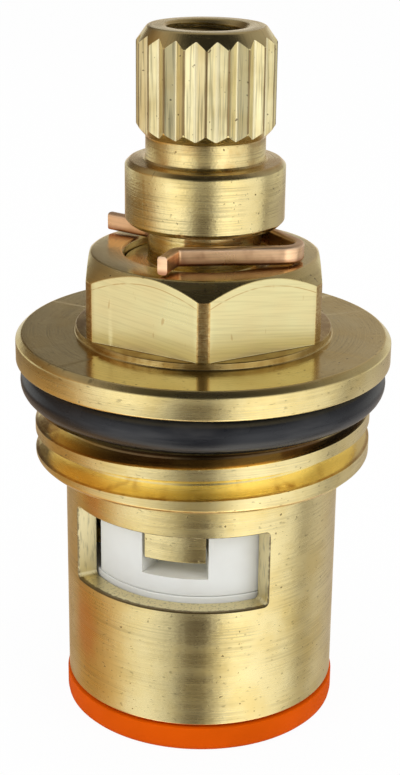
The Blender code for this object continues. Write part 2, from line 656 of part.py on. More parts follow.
def make_fixed_disc(parts, tools):
    """Two fan-shaped ports, and two edge notches for the body's keys."""
    disc = disc_blank("fixed_disc", FIXED_DISC_BOTTOM, FIXED_DISC_TOP, parts)
    notch_span = KEY_SPAN + 2 * math.degrees(SLOT_GAP / KEY_INNER_RADIUS)
    for name, side in SIDES:
        notch = sector(KEY_NOTCH_RADIUS, DISC_RADIUS + CUT_OVERSHOOT,
                       WINDOW_AZIMUTH + 90 + side, notch_span)
        cut_through_disc(disc, "key_notch_" + name, notch, FIXED_DISC_BOTTOM, FIXED_DISC_TOP,
                         tools)
        port = sector(PORT_INNER_RADIUS, PORT_OUTER_RADIUS, WINDOW_AZIMUTH + side, PORT_SPAN)
        cut_through_disc(disc, "port_" + name, port, FIXED_DISC_BOTTOM, FIXED_DISC_TOP, tools)
    settle(disc, finish("fixed_ceramic", CERAMIC, 0.30, 0.0), 30.0)


def make_bottom_seal(parts):
    lip_radius = SKIRT_RADIUS + SEAL_LIP_OVERHANG
    profile = [
        (SEAL_SLEEVE_RADIUS, SEAL_TOP),
        (SEAL_SLEEVE_RADIUS, SEAL_LIP_HEIGHT),
        (lip_radius, SEAL_LIP_HEIGHT),
    ]
    for i in range(SEAL_ROUND_STEPS + 1):
        angle = math.pi / 2 * i / SEAL_ROUND_STEPS
        profile.append((lip_radius - SEAL_EDGE_ROUND * (1 - math.cos(angle)),
                        SEAL_EDGE_ROUND * (1 - math.sin(angle))))
    profile += [(SEAL_BORE_RADIUS, 0.0), (SEAL_BORE_RADIUS, SEAL_TOP)]
    seal = turned("bottom_seal", profile, BODY_STEPS, parts)
    settle(seal, finish("orange_silicone", ORANGE_SILICONE, 0.50, 0.0), 40.0)


def main():
    remove_everything()
    parts = collection("faucet_cartridge")
    tools = collection("cutters")
    make_body(parts, tools)
    make_stem(parts, tools)
    make_retaining_clip(parts)
    make_o_ring("upper_stem_o_ring", STEM_RING_CENTRE_RADIUS, UPPER_RING_HEIGHT,
                STEM_RING_SECTION, STEM_RING_SIDES, parts)
    make_o_ring("lower_stem_o_ring", STEM_RING_CENTRE_RADIUS, LOWER_RING_HEIGHT,
                STEM_RING_SECTION, STEM_RING_SIDES, parts)
    make_o_ring("flange_o_ring", FLANGE_RING_CENTRE_RADIUS,
                FLANGE_BOTTOM - RING_GAP - FLANGE_RING_SECTION / 2,
                FLANGE_RING_SECTION, FLANGE_RING_SIDES, parts)
    make_thrust_washer(parts)
    make_moving_disc(parts, tools)
    make_fixed_disc(parts, tools)
    make_bottom_seal(parts)


main()
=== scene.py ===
"""Looks of the quarter-turn faucet cartridge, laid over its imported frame.

Units are metres, +Z is up and the cartridge's axis is the Z axis. An azimuth is in degrees: 0 looks
towards -Y, the front, and it grows towards +X, counter-clockwise seen from above.
"""

import math

import bmesh
import bpy
from mathutils import Matrix, Vector


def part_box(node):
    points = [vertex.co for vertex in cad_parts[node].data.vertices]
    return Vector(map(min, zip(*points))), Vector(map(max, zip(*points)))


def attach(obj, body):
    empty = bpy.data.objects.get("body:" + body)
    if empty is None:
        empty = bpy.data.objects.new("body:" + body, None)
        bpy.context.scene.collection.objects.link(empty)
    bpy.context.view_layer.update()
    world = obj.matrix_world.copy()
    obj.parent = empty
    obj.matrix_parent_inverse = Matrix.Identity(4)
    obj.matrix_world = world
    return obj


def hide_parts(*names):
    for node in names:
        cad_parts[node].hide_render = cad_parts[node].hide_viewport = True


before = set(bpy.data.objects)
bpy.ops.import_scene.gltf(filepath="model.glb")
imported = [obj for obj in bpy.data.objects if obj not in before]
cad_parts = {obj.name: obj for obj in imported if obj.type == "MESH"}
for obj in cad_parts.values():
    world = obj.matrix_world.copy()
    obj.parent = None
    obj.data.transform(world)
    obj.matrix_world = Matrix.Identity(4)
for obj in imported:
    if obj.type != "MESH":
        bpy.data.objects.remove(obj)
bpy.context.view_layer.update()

MM = 0.001


def heights(node):
    """The lowest and highest height of one of the frame's nodes."""
    low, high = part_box(node)
    return low.z, high.z


# Heights that the frame gives
SEAL_BOTTOM, SEAL_TOP = heights("bottom_seal")
SKIRT_END, HEX_TOP = heights("body")
FIXED_BOTTOM, FIXED_TOP = heights("fixed_disc")
MOVING_BOTTOM, MOVING_TOP = heights("moving_disc")
WASHER_BOTTOM, WASHER_TOP = heights("thrust_washer")
FLANGE_RING_BOTTOM, FLANGE_RING_TOP = heights("flange_o_ring")
UPPER_RING_BOTTOM, UPPER_RING_TOP = heights("upper_stem_o_ring")
LOWER_RING_BOTTOM, LOWER_RING_TOP = heights("lower_stem_o_ring")
CLIP_BOTTOM, CLIP_TOP = heights("retaining_clip")
LUG_BOTTOM, STEM_TOP = heights("stem")

# Clearances and heights of the construction
FACE_GAP = 0.10 * MM
RING_GAP = 0.10 * MM
THREAD_HEIGHT = 3.80 * MM
FLANGE_HEIGHT = 1.77 * MM
BOSS_HEIGHT = 0.45 * MM
WINDOW_HEIGHT = 4.90 * MM
WINDOW_DROP = 0.45 * MM
CLIP_GROOVE_DROP = 0.57 * MM
COLLAR_CLEARANCE = 0.59 * MM
COLLAR_HEIGHT = 3.85 * MM
NECK_HEIGHT = 1.45 * MM

# Heights that follow from all of these
PLATE_BOTTOM = MOVING_TOP + FACE_GAP
PLATE_TOP = WASHER_BOTTOM - FACE_GAP
CHAMBER_CEILING = WASHER_TOP + FACE_GAP
THREAD_TOP = FLANGE_RING_BOTTOM - RING_GAP
THREAD_BOTTOM = THREAD_TOP - THREAD_HEIGHT
FLANGE_BOTTOM = FLANGE_RING_TOP + RING_GAP
FLANGE_TOP = FLANGE_BOTTOM + FLANGE_HEIGHT
BOSS_TOP = FLANGE_TOP + BOSS_HEIGHT
WINDOW_BOTTOM = MOVING_BOTTOM - WINDOW_DROP
WINDOW_TOP = WINDOW_BOTTOM + WINDOW_HEIGHT
CLIP_GROOVE_BOTTOM = HEX_TOP - CLIP_GROOVE_DROP
COLLAR_BOTTOM = CLIP_TOP + COLLAR_CLEARANCE
COLLAR_TOP = COLLAR_BOTTOM + COLLAR_HEIGHT
SPLINE_BOTTOM = COLLAR_TOP + NECK_HEIGHT

# Radii of the body
BORE_RADIUS = 4.91 * MM
CHAMBER_RADIUS = 7.35 * MM
SKIRT_RADIUS = 8.60 * MM
THREAD_RADIUS = 10.4775 * MM
RING_SEAT_RADIUS = 9.05 * MM
FLANGE_RADIUS = 11.60 * MM
HEX_FLAT_RADIUS = 7.00 * MM
HEX_LAND_RADIUS = 7.90 * MM
HEX_TOP_FACE_RADIUS = 6.90 * MM
STOP_RIB_RADIUS = 6.30 * MM
KEY_RADIUS = 6.50 * MM

# Chamfers, rounds and depths of the body
FLANGE_TOP_CHAMFER = 0.35 * MM
FLANGE_LOWER_CHAMFER = 0.12 * MM
THREAD_CHAMFER = 0.25 * MM
SKIRT_CHAMFER = 0.15 * MM
BORE_MOUTH = 0.15 * MM
KEY_DROP = 0.30 * MM
WINDOW_CORNER = 0.30 * MM
WINDOW_FLARE = 0.07 * MM

# Right-hand threads, and the screw hole
THREAD_PITCH = 1.814 * MM
THREAD_ROOT_RADIUS = 9.316 * MM
THREAD_CREST = 0.55 * MM
THREAD_START_DROP = 0.29 * MM
THREAD_END_RISE = 0.25 * MM
THREAD_LEAD_IN_TURNS = 0.55
THREAD_RUN_OUT_TURNS = 0.65
SCREW_PITCH = 0.80 * MM
SCREW_HOLE_RADIUS = 2.10 * MM
SCREW_THREAD_RADIUS = 2.46 * MM
SCREW_MOUTH_RADIUS = 2.50 * MM
SCREW_HOLE_DEPTH = 12.0 * MM
SCREW_TURNS = 8.0
SCREW_RUN_IN_TURNS = 0.01
DRILL_HALF_ANGLE = 59

# Places round the axis
WINDOW_AZIMUTH = -17.15
WINDOW_SPAN = 91.7
LUG_AZIMUTH = -13.0
LUG_SPAN = 31.0
STOP_RIB_AZIMUTH = LUG_AZIMUTH + 135.0
STOP_RIB_SPAN = 20.0
STOP_NOTCH_AZIMUTH = LUG_AZIMUTH + 90.0
STOP_NOTCH_SPAN = 113.0
KEY_AZIMUTH = WINDOW_AZIMUTH + 90.0
KEY_SPAN = 24.0
PASSAGE_SPAN = 86.0
PORT_SPAN = 70.0

# Sizes of the stem, the discs and the seal
STEM_RADIUS = 4.83 * MM
RING_GROOVE_RADIUS = 3.35 * MM
RING_GROOVE_WIDTH = 2.00 * MM
CLIP_GROOVE_RADIUS = 3.45 * MM
NECK_RADIUS = 3.60 * MM
SPLINE_TEETH = 20
SPLINE_CREST_RADIUS = 4.15 * MM
SPLINE_ROOT_RADIUS = 3.83 * MM
SPLINE_FACE_RADIUS = 3.50 * MM
SPLINE_TOP_CHAMFER = 0.91 * MM
SPLINE_LEAD_OUT = 0.62 * MM
SPLINE_CREST_LAND = 1.1
SPLINE_ROOT_HALF_LAND = 0.5
COLLAR_CHAMFER = 0.28 * MM
LUG_ROUND = 0.16 * MM
DISC_RADIUS = 7.20 * MM
DISC_HUB_RADIUS = 2.60 * MM
STOP_NOTCH_RADIUS = 6.15 * MM
LUG_OUTER_RADIUS = 7.15 * MM
LUG_INNER_RADIUS = 5.00 * MM
LUG_SLOT_RADIUS = 4.88 * MM
LUG_SLOT_SPAN = 33.75
LUG_SLOT_FLOOR = LUG_BOTTOM - 1.00 * MM
PORT_INNER_RADIUS = 2.30 * MM
PORT_OUTER_RADIUS = 5.20 * MM
DISC_CHAMFER = 0.05 * MM
DISC_ROUND = 0.06 * MM
MOVING_DISC_DROP = 0.07 * MM
KEY_NOTCH_DEPTH_GAP = 0.15 * MM
KEY_NOTCH_SPAN_GAP = 2.2
SEAL_BORE_RADIUS = 5.30 * MM
SEAL_LIP_OVERHANG = 0.10 * MM

# Retaining clip, bent from flat wire
CLIP_HEIGHT = CLIP_TOP - CLIP_BOTTOM
CLIP_THICKNESS = 0.60 * MM
CLIP_EDGE_ROUND = 0.20 * MM
CLIP_GRIP_RADIUS = CLIP_GROOVE_RADIUS + 0.15 * MM + CLIP_THICKNESS / 2
CLIP_BACK_AZIMUTH = 120.0
CLIP_FRONT_AZIMUTH = 6.2
CLIP_BEND_LEAD = 12.0
CLIP_LOOP_RADIUS = 1.15 * MM
CLIP_BEND_RADIUS = 0.50 * MM
CLIP_FRONT_TAIL = 2.12 * MM
CLIP_FRONT_LEG = 2.10 * MM
CLIP_FRONT_LEG_TURN = 63.7
CLIP_BACK_LEG = 3.40 * MM
CLIP_BACK_LEG_AZIMUTH = -125.0
CLIP_BACK_LEG_LEAN = -1.7

# Fineness of the meshes, and limits of their rounds and steps
BODY_STEPS = 240
STEM_STEPS = 200
RING_STEPS = 192
RING_SIDES = 32
CORNER_STEPS = 3
SECTOR_STEP = 1.5
FEWEST_SECTOR_STEPS = 8
MERGE_DISTANCE = 1e-7
CUT_OVERSHOOT = 0.50 * MM
SIDE_STEP = 0.06
EVEN_CLEARANCE = 0.4
DEEPEST_ROUND = 0.45

# Which faces take a piece's second and third finish
SECOND_FINISH = 1
THIRD_FINISH = 2
FLAT_ALIGNMENT = 0.97
FLAT_TOLERANCE = 0.008 * MM

# The line scribed on the hexagon's flats, below its chamfer
SCRIBE_DROP = 0.42 * MM

# Heat stains on the skirt: azimuth, height, size and strength
HEAT_STAINS = ((-57.0, 6.6 * MM, 2.5 * MM, 0.75), (-50.0, 15.6 * MM, 1.9 * MM, 0.55))

# Colours in linear light
BRASS_PALE = (0.84, 0.71, 0.36)
BRASS_DEEP = (0.76, 0.59, 0.23)
MILLED_PALE = (0.80, 0.73, 0.38)
SPLINE_PALE = (0.96, 0.86, 0.50)
EDGE_BROWN = (0.11, 0.065, 0.02)
# Tarnish, nicks and scribe lines, and also painted shade beside the thread's crests and on the
# hexagon's lands
BRASS_TARNISH_AND_SHADE = (0.42, 0.22, 0.06)
HEAT_STAIN = (0.80, 0.44, 0.20)
# Painted shade: the dark brown inside the screw hole
HOLE_PAINTED_SHADE = (0.09, 0.045, 0.04)
# Painted shade: the dark brown of the thread's upper turn under the O-ring
THREAD_PAINTED_SHADE = (0.085, 0.045, 0.022)
# Painted reflection: bright gold for the light bouncing in the thread's groove
GROOVE_PAINTED_BOUNCE = (0.99, 0.82, 0.36)
NECK_BRONZE = (0.58, 0.36, 0.12)
# Painted shade: the brown of the boss's rounded edge
BOSS_EDGE_PAINTED_SHADE = (0.38, 0.24, 0.07)
# Painted shade: the dark brown of the spline's crests
CREST_PAINTED_SHADE = (0.24, 0.15, 0.06)
# Painted highlight: near-white for the spline's valleys and the windows' lit cut faces
PALE_PAINTED_HIGHLIGHT = (0.95, 0.86, 0.56)
PIT_BROWN = (0.10, 0.06, 0.02)
COPPER_PALE = (0.96, 0.63, 0.37)
# Red-brown for mottling, and painted shade on the clip's lower edge
COPPER_RED_AND_SHADE = (0.42, 0.17, 0.09)
# Painted highlight: the pale of the clip's upper edge
COPPER_PAINTED_HIGHLIGHT = (1.0, 0.76, 0.54)
CERAMIC_WHITE = (0.74, 0.75, 0.72)
CERAMIC_SHADE = (0.66, 0.65, 0.61)
SEAL_ORANGE = (0.70, 0.094, 0.0)
RUBBER_BLACK = (0.012, 0.013, 0.016)
RUBBER_DUST = (0.034, 0.034, 0.036)
ACETAL_WHITE = (0.70, 0.68, 0.62)


def at(radius, azimuth, height=0.0):
    angle = math.radians(azimuth)
    return Vector((radius * math.sin(angle), -radius * math.cos(angle), height))


def away_from(azimuth, mark):
    """How far an azimuth lies from a mark, either way round."""
    return abs((azimuth - mark + 180) % 360 - 180)


def within(azimuth, middle, span):
    """Whether an azimuth lies in either of two sectors, opposite each other."""
    return min(away_from(azimuth, middle), away_from(azimuth, middle + 180)) <= span / 2


def sides_of(middle, span):
    """Four pairs of stations that give two opposite sectors their steep sides."""
    edges = []
    for side in (0, 180):
        for end in (-1, 1):
            edge = middle + side + end * span / 2
            edges += [edge, edge + end * SIDE_STEP]
    return edges


def stations(steps, marks, clear=EVEN_CLEARANCE):
    """Azimuths round the axis: the exact marks, and even steps that keep clear of them."""
    marks = [mark % 360 for mark in marks]
    even = [i * 360 / steps for i in range(steps)]
    free = [a for a in even if all(away_from(a, mark) > clear for mark in marks)]
    return sorted(free + marks)


def soft_corners(points, closed):
    """A profile with rounded corners. Each point is a radius, a height and the corner's round."""
    result = []
    count = len(points)
    for i, (radius, height, size) in enumerate(points):
        corner = Vector((radius, height))
        if size == 0 or (not closed and i in (0, count - 1)):
            result.append(corner)
            continue
        before = Vector(points[i - 1][:2]) - corner
        after = Vector(points[(i + 1) % count][:2]) - corner
        shorter = min(before.length, after.length)
        if shorter < MERGE_DISTANCE:
            result += [corner] * (CORNER_STEPS + 1)
            continue
        reach = min(size, DEEPEST_ROUND * shorter)
        start = corner + before.normalized() * reach
        end = corner + after.normalized() * reach
        for step in range(CORNER_STEPS + 1):
            t = step / CORNER_STEPS
            result.append(start * (1 - t) ** 2 + corner * 2 * t * (1 - t) + end * t * t)
    return result


def new_object(name, data):
    item = bpy.data.objects.new(name, data)
    bpy.context.scene.collection.objects.link(item)
    return item


def outward_shape(name, work):
    """Makes an object of a bmesh, with all of its faces turned outwards."""
    bmesh.ops.recalc_face_normals(work, faces=work.faces)
    mesh = bpy.data.meshes.new(name)
    work.to_mesh(mesh)
    work.free()
    return new_object(name, mesh)


def weld(work):
    """Joins a bmesh's points that lie in one place, and drops what has no size."""
    bmesh.ops.remove_doubles(work, verts=work.verts, dist=MERGE_DISTANCE)
    bmesh.ops.dissolve_degenerate(work, dist=MERGE_DISTANCE, edges=work.edges)


def skin(name, azimuths, profile_at, closed=True):
    """A closed skin through one column of points at each azimuth round the axis."""
    work = bmesh.new()
    columns = []
    for azimuth in azimuths:
        points = soft_corners(profile_at(azimuth), closed)
        columns.append([work.verts.new(at(radius, azimuth, height)) for radius, height in points])
    rows = len(columns[0])
    for i, column in enumerate(columns):
        following = columns[(i + 1) % len(columns)]
        for row in range(rows if closed else rows - 1):
            below = (row + 1) % rows
            work.faces.new((column[row], column[below], following[below], following[row]))
    weld(work)
    return outward_shape(name, work)


def lathed(name, steps, points, closed=True):
    """A skin with the same profile all the way round."""
    return skin(name, stations(steps, []), lambda _azimuth: points, closed)


def sector_block(name, inner, outer, azimuth, span, bottom, top):
    """A block between two radii, two heights and two azimuths, for cutting."""
    steps = max(FEWEST_SECTOR_STEPS, math.ceil(span / SECTOR_STEP))
    work = bmesh.new()
    columns = []
    for i in range(steps + 1):
        place = azimuth - span / 2 + span * i / steps
        columns.append([work.verts.new(at(radius, place, height)) for radius, height in
                        ((outer, top), (outer, bottom), (inner, bottom), (inner, top))])
    work.faces.new(columns[0])
    work.faces.new(columns[-1][::-1])
    for column, following in zip(columns, columns[1:]):
        for row in range(4):
            below = (row + 1) % 4
            work.faces.new((column[row], column[below], following[below], following[row]))
    return outward_shape(name, work)


def plain_mesh(item):
    """Bakes an object's modifiers into a mesh of its own, without them."""
    bpy.context.view_layer.update()
    evaluated = item.evaluated_get(bpy.context.evaluated_depsgraph_get())
    mesh = bpy.data.meshes.new_from_object(evaluated)
    mesh.name = item.name
    if item.type == "MESH":
        item.modifiers.clear()
        item.data = mesh
        return item
    baked = new_object(item.name + "_mesh", mesh)
    name = item.name
    bpy.data.objects.remove(item, do_unlink=True)
    baked.name = name
    return baked


def cut(item, *tools):
    """Takes the tools' shapes away from an object."""
    for tool in tools:
        step = item.modifiers.new(tool.name, "BOOLEAN")
        step.operation = "DIFFERENCE"
        step.solver = "EXACT"
        step.object = tool
    plain_mesh(item)
    for tool in tools:
        bpy.data.objects.remove(tool, do_unlink=True)


def dress(item, body, slot, *materials, sharp_angle=24.0, nodes=()):
    """Shades a finished piece and hands it to the body that carries it."""
    work = bmesh.new()
    work.from_mesh(item.data)
    weld(work)
    work.to_mesh(item.data)
    work.free()
    item.data.shade_smooth()
    item.data.set_sharp_from_angle(angle=math.radians(sharp_angle))
    weighting = item.modifiers.new("Even shading of flats", "WEIGHTED_NORMAL")
    weighting.keep_sharp = True
    plain_mesh(item)
    item.data.materials.clear()
    for material in materials:
        item.data.materials.append(material)
    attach(item, body)
    if nodes:
        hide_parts(*nodes)
    return item


def put(tree, kind, settings=None, inputs=None):
    """Adds a node. Its inputs are values or other nodes' outputs, by socket name or number."""
    node = tree.nodes.new(kind)
    for name, value in (settings or {}).items():
        setattr(node, name, value)
    for name, value in (inputs or {}).items():
        if isinstance(value, bpy.types.NodeSocket):
            tree.links.new(value, node.inputs[name])
        else:
            node.inputs[name].default_value = value
    return node


class Nodes:
    """A node tree, with a short call for each step that the trees share."""

    def __init__(self, tree):
        self.tree = tree

    def maths(self, operation, first, second=0.0):
        node = put(self.tree, "ShaderNodeMath", {"operation": operation}, {0: first, 1: second})
        return node.outputs[0]

    def product(self, result, *factors):
        for factor in factors:
            result = self.maths("MULTIPLY", result, factor)
        return result

    def vector(self, operation, first, second=None):
        inputs = {0: first}
        if second is not None:
            inputs[1] = second
        node = put(self.tree, "ShaderNodeVectorMath", {"operation": operation}, inputs)
        return node.outputs["Value" if operation == "LENGTH" else "Vector"]

    def parts(self, vector):
        return put(self.tree, "ShaderNodeSeparateXYZ", None, {0: vector}).outputs

    def joined(self, x, y, z):
        return put(self.tree, "ShaderNodeCombineXYZ", None, {0: x, 1: y, 2: z}).outputs[0]

    def spread(self, value, low, high, start=0.0, end=1.0):
        """Maps a value between two limits onto a softly eased range."""
        node = put(self.tree, "ShaderNodeMapRange", {"interpolation_type": "SMOOTHSTEP"},
                   {"Value": value, "From Min": low, "From Max": high,
                    "To Min": start, "To Max": end})
        return node.outputs[0]

    def mix(self, kind, share, first, second):
        """Mixes two colours, each of them three values or another node's output."""
        node = put(self.tree, "ShaderNodeMix", {"data_type": "RGBA", "blend_type": kind},
                   {0: share})
        for socket, value in ((node.inputs[6], first), (node.inputs[7], second)):
            if isinstance(value, bpy.types.NodeSocket):
                self.tree.links.new(value, socket)
            else:
                socket.default_value = (*value, 1.0)
        return node.outputs[2]

    def blend(self, share, first, second):
        return self.mix("MIX", share, first, second)


class Recipe(Nodes):
    """A material's nodes, with a short call for each step that the finishes share."""

    def __init__(self, name, roughness, metallic=0.0, specular=0.5):
        self.material = bpy.data.materials.new(name)
        self.material.use_nodes = True
        super().__init__(self.material.node_tree)
        self.shader = self.tree.nodes["Principled BSDF"]
        self.shader.inputs["Metallic"].default_value = metallic
        self.shader.inputs["Roughness"].default_value = roughness
        self.shader.inputs["Specular IOR Level"].default_value = specular
        self.place = put(self.tree, "ShaderNodeTexCoord").outputs["Object"]

    def noise(self, place, scale, detail=2.0, roughness=0.5):
        node = put(self.tree, "ShaderNodeTexNoise", None,
                   {"Vector": place, "Scale": scale, "Detail": detail, "Roughness": roughness})
        return node.outputs[0]

    def shade(self, colour, share):
        """A colour times a grey share."""
        return self.mix("MULTIPLY", 1.0, colour, share)

    def relief(self, height, depth, below=None):
        inputs = {"Height": height, "Distance": depth, "Strength": 1.0}
        if below is not None:
            inputs["Normal"] = below
        return put(self.tree, "ShaderNodeBump", None, inputs).outputs[0]

    def feed(self, name, value):
        self.tree.links.new(value, self.shader.inputs[name])

    def flattened(self):
        """The way from the axis to the place, on the level."""
        return self.vector("MULTIPLY", self.place, (1.0, 1.0, 0.0))

    def radius(self):
        return self.vector("LENGTH", self.flattened())

    def stretched(self, across, upward, height=None):
        """The place scaled across and upward, for grain that runs one way."""
        x, y, z = self.parts(self.place)
        return self.joined(self.product(x, across), self.product(y, across),
                           self.product(z if height is None else height, upward))

    def round_the_axis(self, turns, rings):
        """Coordinates that run slowly round the axis and fast along and across it."""
        way_out = self.parts(self.vector("NORMALIZE", self.flattened()))
        path = self.maths("ADD", self.product(self.radius(), 1.35), self.parts(self.place)[2])
        return self.joined(self.product(way_out[0], turns), self.product(way_out[1], turns),
                           self.product(path, rings))


def turned_brass(name, roughness, ring_depth, ring_tone):
    """Lathe-turned brass: rings round the axis, a satin grain, short dashes and a few dark pits."""
    recipe = Recipe(name, roughness, metallic=1.0)
    fine_rings = recipe.noise(recipe.round_the_axis(0.9, 9000.0), 1.0, 2.0, 0.6)
    wide_rings = recipe.noise(recipe.round_the_axis(0.6, 1700.0), 1.0, 3.0, 0.6)
    dashes = recipe.noise(recipe.round_the_axis(26.0, 6400.0), 1.0, 1.0, 0.4)
    grain = recipe.noise(recipe.place, 16000.0, 2.0, 0.6)
    clouds = recipe.noise(recipe.place, 260.0, 4.0, 0.55)
    patches = recipe.noise(recipe.place, 420.0, 2.0, 0.5)
    pits = recipe.spread(recipe.noise(recipe.place, 4300.0, 1.0, 0.4), 0.745, 0.80)

    # The rings show more in some patches than in others.
    ring_dark = recipe.product(recipe.spread(fine_rings, 0.30, 0.60, ring_tone, 0.0),
                               recipe.spread(patches, 0.36, 0.62))
    colour = recipe.blend(recipe.spread(clouds, 0.35, 0.75), BRASS_PALE, BRASS_DEEP)
    colour = recipe.shade(colour, recipe.maths("SUBTRACT", 1.0, ring_dark))
    colour = recipe.shade(colour, recipe.spread(dashes, 0.66, 0.78, 1.0, 0.66))
    colour = recipe.blend(recipe.product(pits, 0.8), colour, PIT_BROWN)

    rough = recipe.spread(clouds, 0.30, 0.75, roughness - 0.03, roughness + 0.05)
    rough = recipe.maths("ADD", rough, recipe.spread(wide_rings, 0.35, 0.70, 0.0, 0.07))
    rough = recipe.maths("ADD", rough, recipe.spread(fine_rings, 0.35, 0.65, 0.05, 0.0))

    surface = recipe.relief(fine_rings, ring_depth)
    for height, depth in ((dashes, 0.006 * MM), (grain, 0.0012 * MM), (pits, -0.008 * MM)):
        surface = recipe.relief(height, depth, surface)
    recipe.feed("Normal", surface)
    return recipe, colour, rough


def body_brass(name):
    """The body's finish: stained skirt, painted gold bounce light and painted shade in the thread
    groove, painted shade on the boss edge, and lands darkened as a painted reflection.
    """
    recipe, colour, rough = turned_brass(name, 0.22, 0.0040 * MM, 0.20)
    mottle = recipe.noise(recipe.place, 700.0, 3.0, 0.6)
    for azimuth, height, size, strength in HEAT_STAINS:
        offset = recipe.vector("SUBTRACT", recipe.place, tuple(at(SKIRT_RADIUS, azimuth, height)))
        offset = recipe.vector("MULTIPLY", offset, (1.0, 1.0, 0.55))
        reach = recipe.maths("ADD", recipe.vector("LENGTH", offset),
                             recipe.product(mottle, 1.1 * MM))
        stain = recipe.spread(reach, size, 0.4 * size, 0.0, strength)
        colour = recipe.blend(stain, colour, HEAT_STAIN)

    x, y, z = recipe.parts(recipe.place)
    radius = recipe.radius()

    # Painted reflection: the thread's groove is painted bright gold for the light bouncing inside
    # it, with patches of tarnish.
    sunk = recipe.product(
        recipe.spread(radius, THREAD_RADIUS - 0.08 * MM, THREAD_RADIUS - 0.30 * MM),
        recipe.spread(z, THREAD_BOTTOM - 0.1 * MM, THREAD_BOTTOM + 0.1 * MM),
        recipe.spread(z, THREAD_TOP + 0.1 * MM, THREAD_TOP - 0.1 * MM))
    colour = recipe.blend(sunk, colour, GROOVE_PAINTED_BOUNCE)
    patchy = recipe.spread(recipe.noise(recipe.place, 330.0, 3.0, 0.6), 0.52, 0.66, 0.0, 0.70)
    colour = recipe.blend(recipe.product(sunk, patchy), colour, BRASS_TARNISH_AND_SHADE)

    # Painted shade: its upper turn, under the O-ring, is darkened for the ring's shadow and dark
    # reflection; the turn is found along the helix, and the shade fades at both ends.
    turn = recipe.maths("DIVIDE", recipe.maths("ARCTAN2", x, recipe.product(y, -1.0)),
                        2 * math.pi)
    along = recipe.maths("SUBTRACT", z, recipe.product(turn, THREAD_PITCH))
    upper_turn = THREAD_BOTTOM - THREAD_START_DROP + 2 * THREAD_PITCH
    under_ring_shade = recipe.product(
        recipe.spread(along, upper_turn - 0.72 * MM, upper_turn - 0.60 * MM),
        recipe.spread(radius, THREAD_RADIUS - 0.03 * MM, THREAD_RADIUS - 0.12 * MM),
        recipe.spread(z, THREAD_TOP - 0.18 * MM, THREAD_TOP - 0.30 * MM))
    faded = recipe.product(recipe.spread(turn, -0.21, -0.07, 0.0, 0.95),
                           recipe.spread(turn, 0.36, 0.26))
    colour = recipe.blend(recipe.product(under_ring_shade, faded), colour, THREAD_PAINTED_SHADE)

    # Painted shade: a broken dark line runs beside each crest, at the groove's edge.
    beside_crest = recipe.product(
        recipe.spread(radius, THREAD_RADIUS - 0.24 * MM, THREAD_RADIUS - 0.10 * MM),
        recipe.spread(radius, THREAD_RADIUS - 0.01 * MM, THREAD_RADIUS - 0.05 * MM))
    in_band = recipe.product(recipe.spread(z, THREAD_BOTTOM - 0.10 * MM, THREAD_BOTTOM),
                             recipe.spread(z, THREAD_TOP + 0.10 * MM, THREAD_TOP))
    line = recipe.product(beside_crest, in_band, recipe.spread(mottle, 0.35, 0.65, 0.35, 0.85))
    colour = recipe.blend(line, colour, BRASS_TARNISH_AND_SHADE)

    # Painted shade: the boss's rounded edge is darkened in mottled brown, as the shade round the
    # hexagon's foot.
    boss_edge_shade = recipe.product(recipe.spread(z, FLANGE_TOP, FLANGE_TOP + 0.08 * MM),
                               recipe.spread(z, BOSS_TOP + 0.12 * MM, BOSS_TOP + 0.02 * MM),
                               recipe.spread(mottle, 0.38, 0.62, 0.55, 0.95))
    colour = recipe.blend(boss_edge_shade, colour, BOSS_EDGE_PAINTED_SHADE)

    # Painted reflection: the narrow lands between the hexagon's flats are darkened, with speckle,
    # as the dark strip they mirror.
    speckle = recipe.noise(recipe.place, 5200.0, 2.0, 0.6)
    land_painted_dark = recipe.product(
        recipe.spread(z, BOSS_TOP, BOSS_TOP + 0.20 * MM),
        recipe.spread(radius, HEX_LAND_RADIUS - 0.05 * MM, HEX_LAND_RADIUS - 0.02 * MM),
        recipe.spread(radius, FLANGE_RADIUS - 1.0 * MM, HEX_LAND_RADIUS + 0.3 * MM),
        recipe.spread(speckle, 0.40, 0.62, 0.75, 0.45))
    colour = recipe.blend(land_painted_dark, colour, BRASS_TARNISH_AND_SHADE)
    recipe.feed("Base Color", colour)

    # Faces that look up are smoother.
    facing = put(recipe.tree, "ShaderNodeNewGeometry").outputs["Normal"]
    upward = recipe.spread(recipe.parts(facing)[2], 0.80, 0.97, 1.0, 0.62)
    recipe.feed("Roughness", recipe.product(rough, upward))
    return recipe.material


def stem_brass(name):
    """The stem's finish, with a bronze neck and painted shade in the screw hole, darker deeper in.
    """
    recipe, colour, rough = turned_brass(name, 0.19, 0.0055 * MM, 0.34)
    z = recipe.parts(recipe.place)[2]
    tarnish = recipe.spread(recipe.noise(recipe.place, 620.0, 3.0, 0.6), 0.36, 0.64, 0.10, 0.62)
    on_neck = recipe.product(recipe.spread(z, COLLAR_TOP - 0.25 * MM, COLLAR_TOP),
                             recipe.spread(z, SPLINE_BOTTOM + 0.5 * MM, SPLINE_BOTTOM))
    colour = recipe.blend(recipe.product(tarnish, on_neck), colour, NECK_BRONZE)
    # Painted shade: the screw hole is painted dark brown, darker towards its depth.
    hole_shade = recipe.product(
        recipe.spread(recipe.radius(), SCREW_THREAD_RADIUS + 0.03 * MM, SCREW_THREAD_RADIUS),
        recipe.spread(z, STEM_TOP - 1.6 * MM, STEM_TOP - 0.5 * MM, 0.88, 0.25))
    recipe.feed("Base Color", recipe.blend(hole_shade, colour, HOLE_PAINTED_SHADE))
    recipe.feed("Roughness", rough)
    return recipe.material


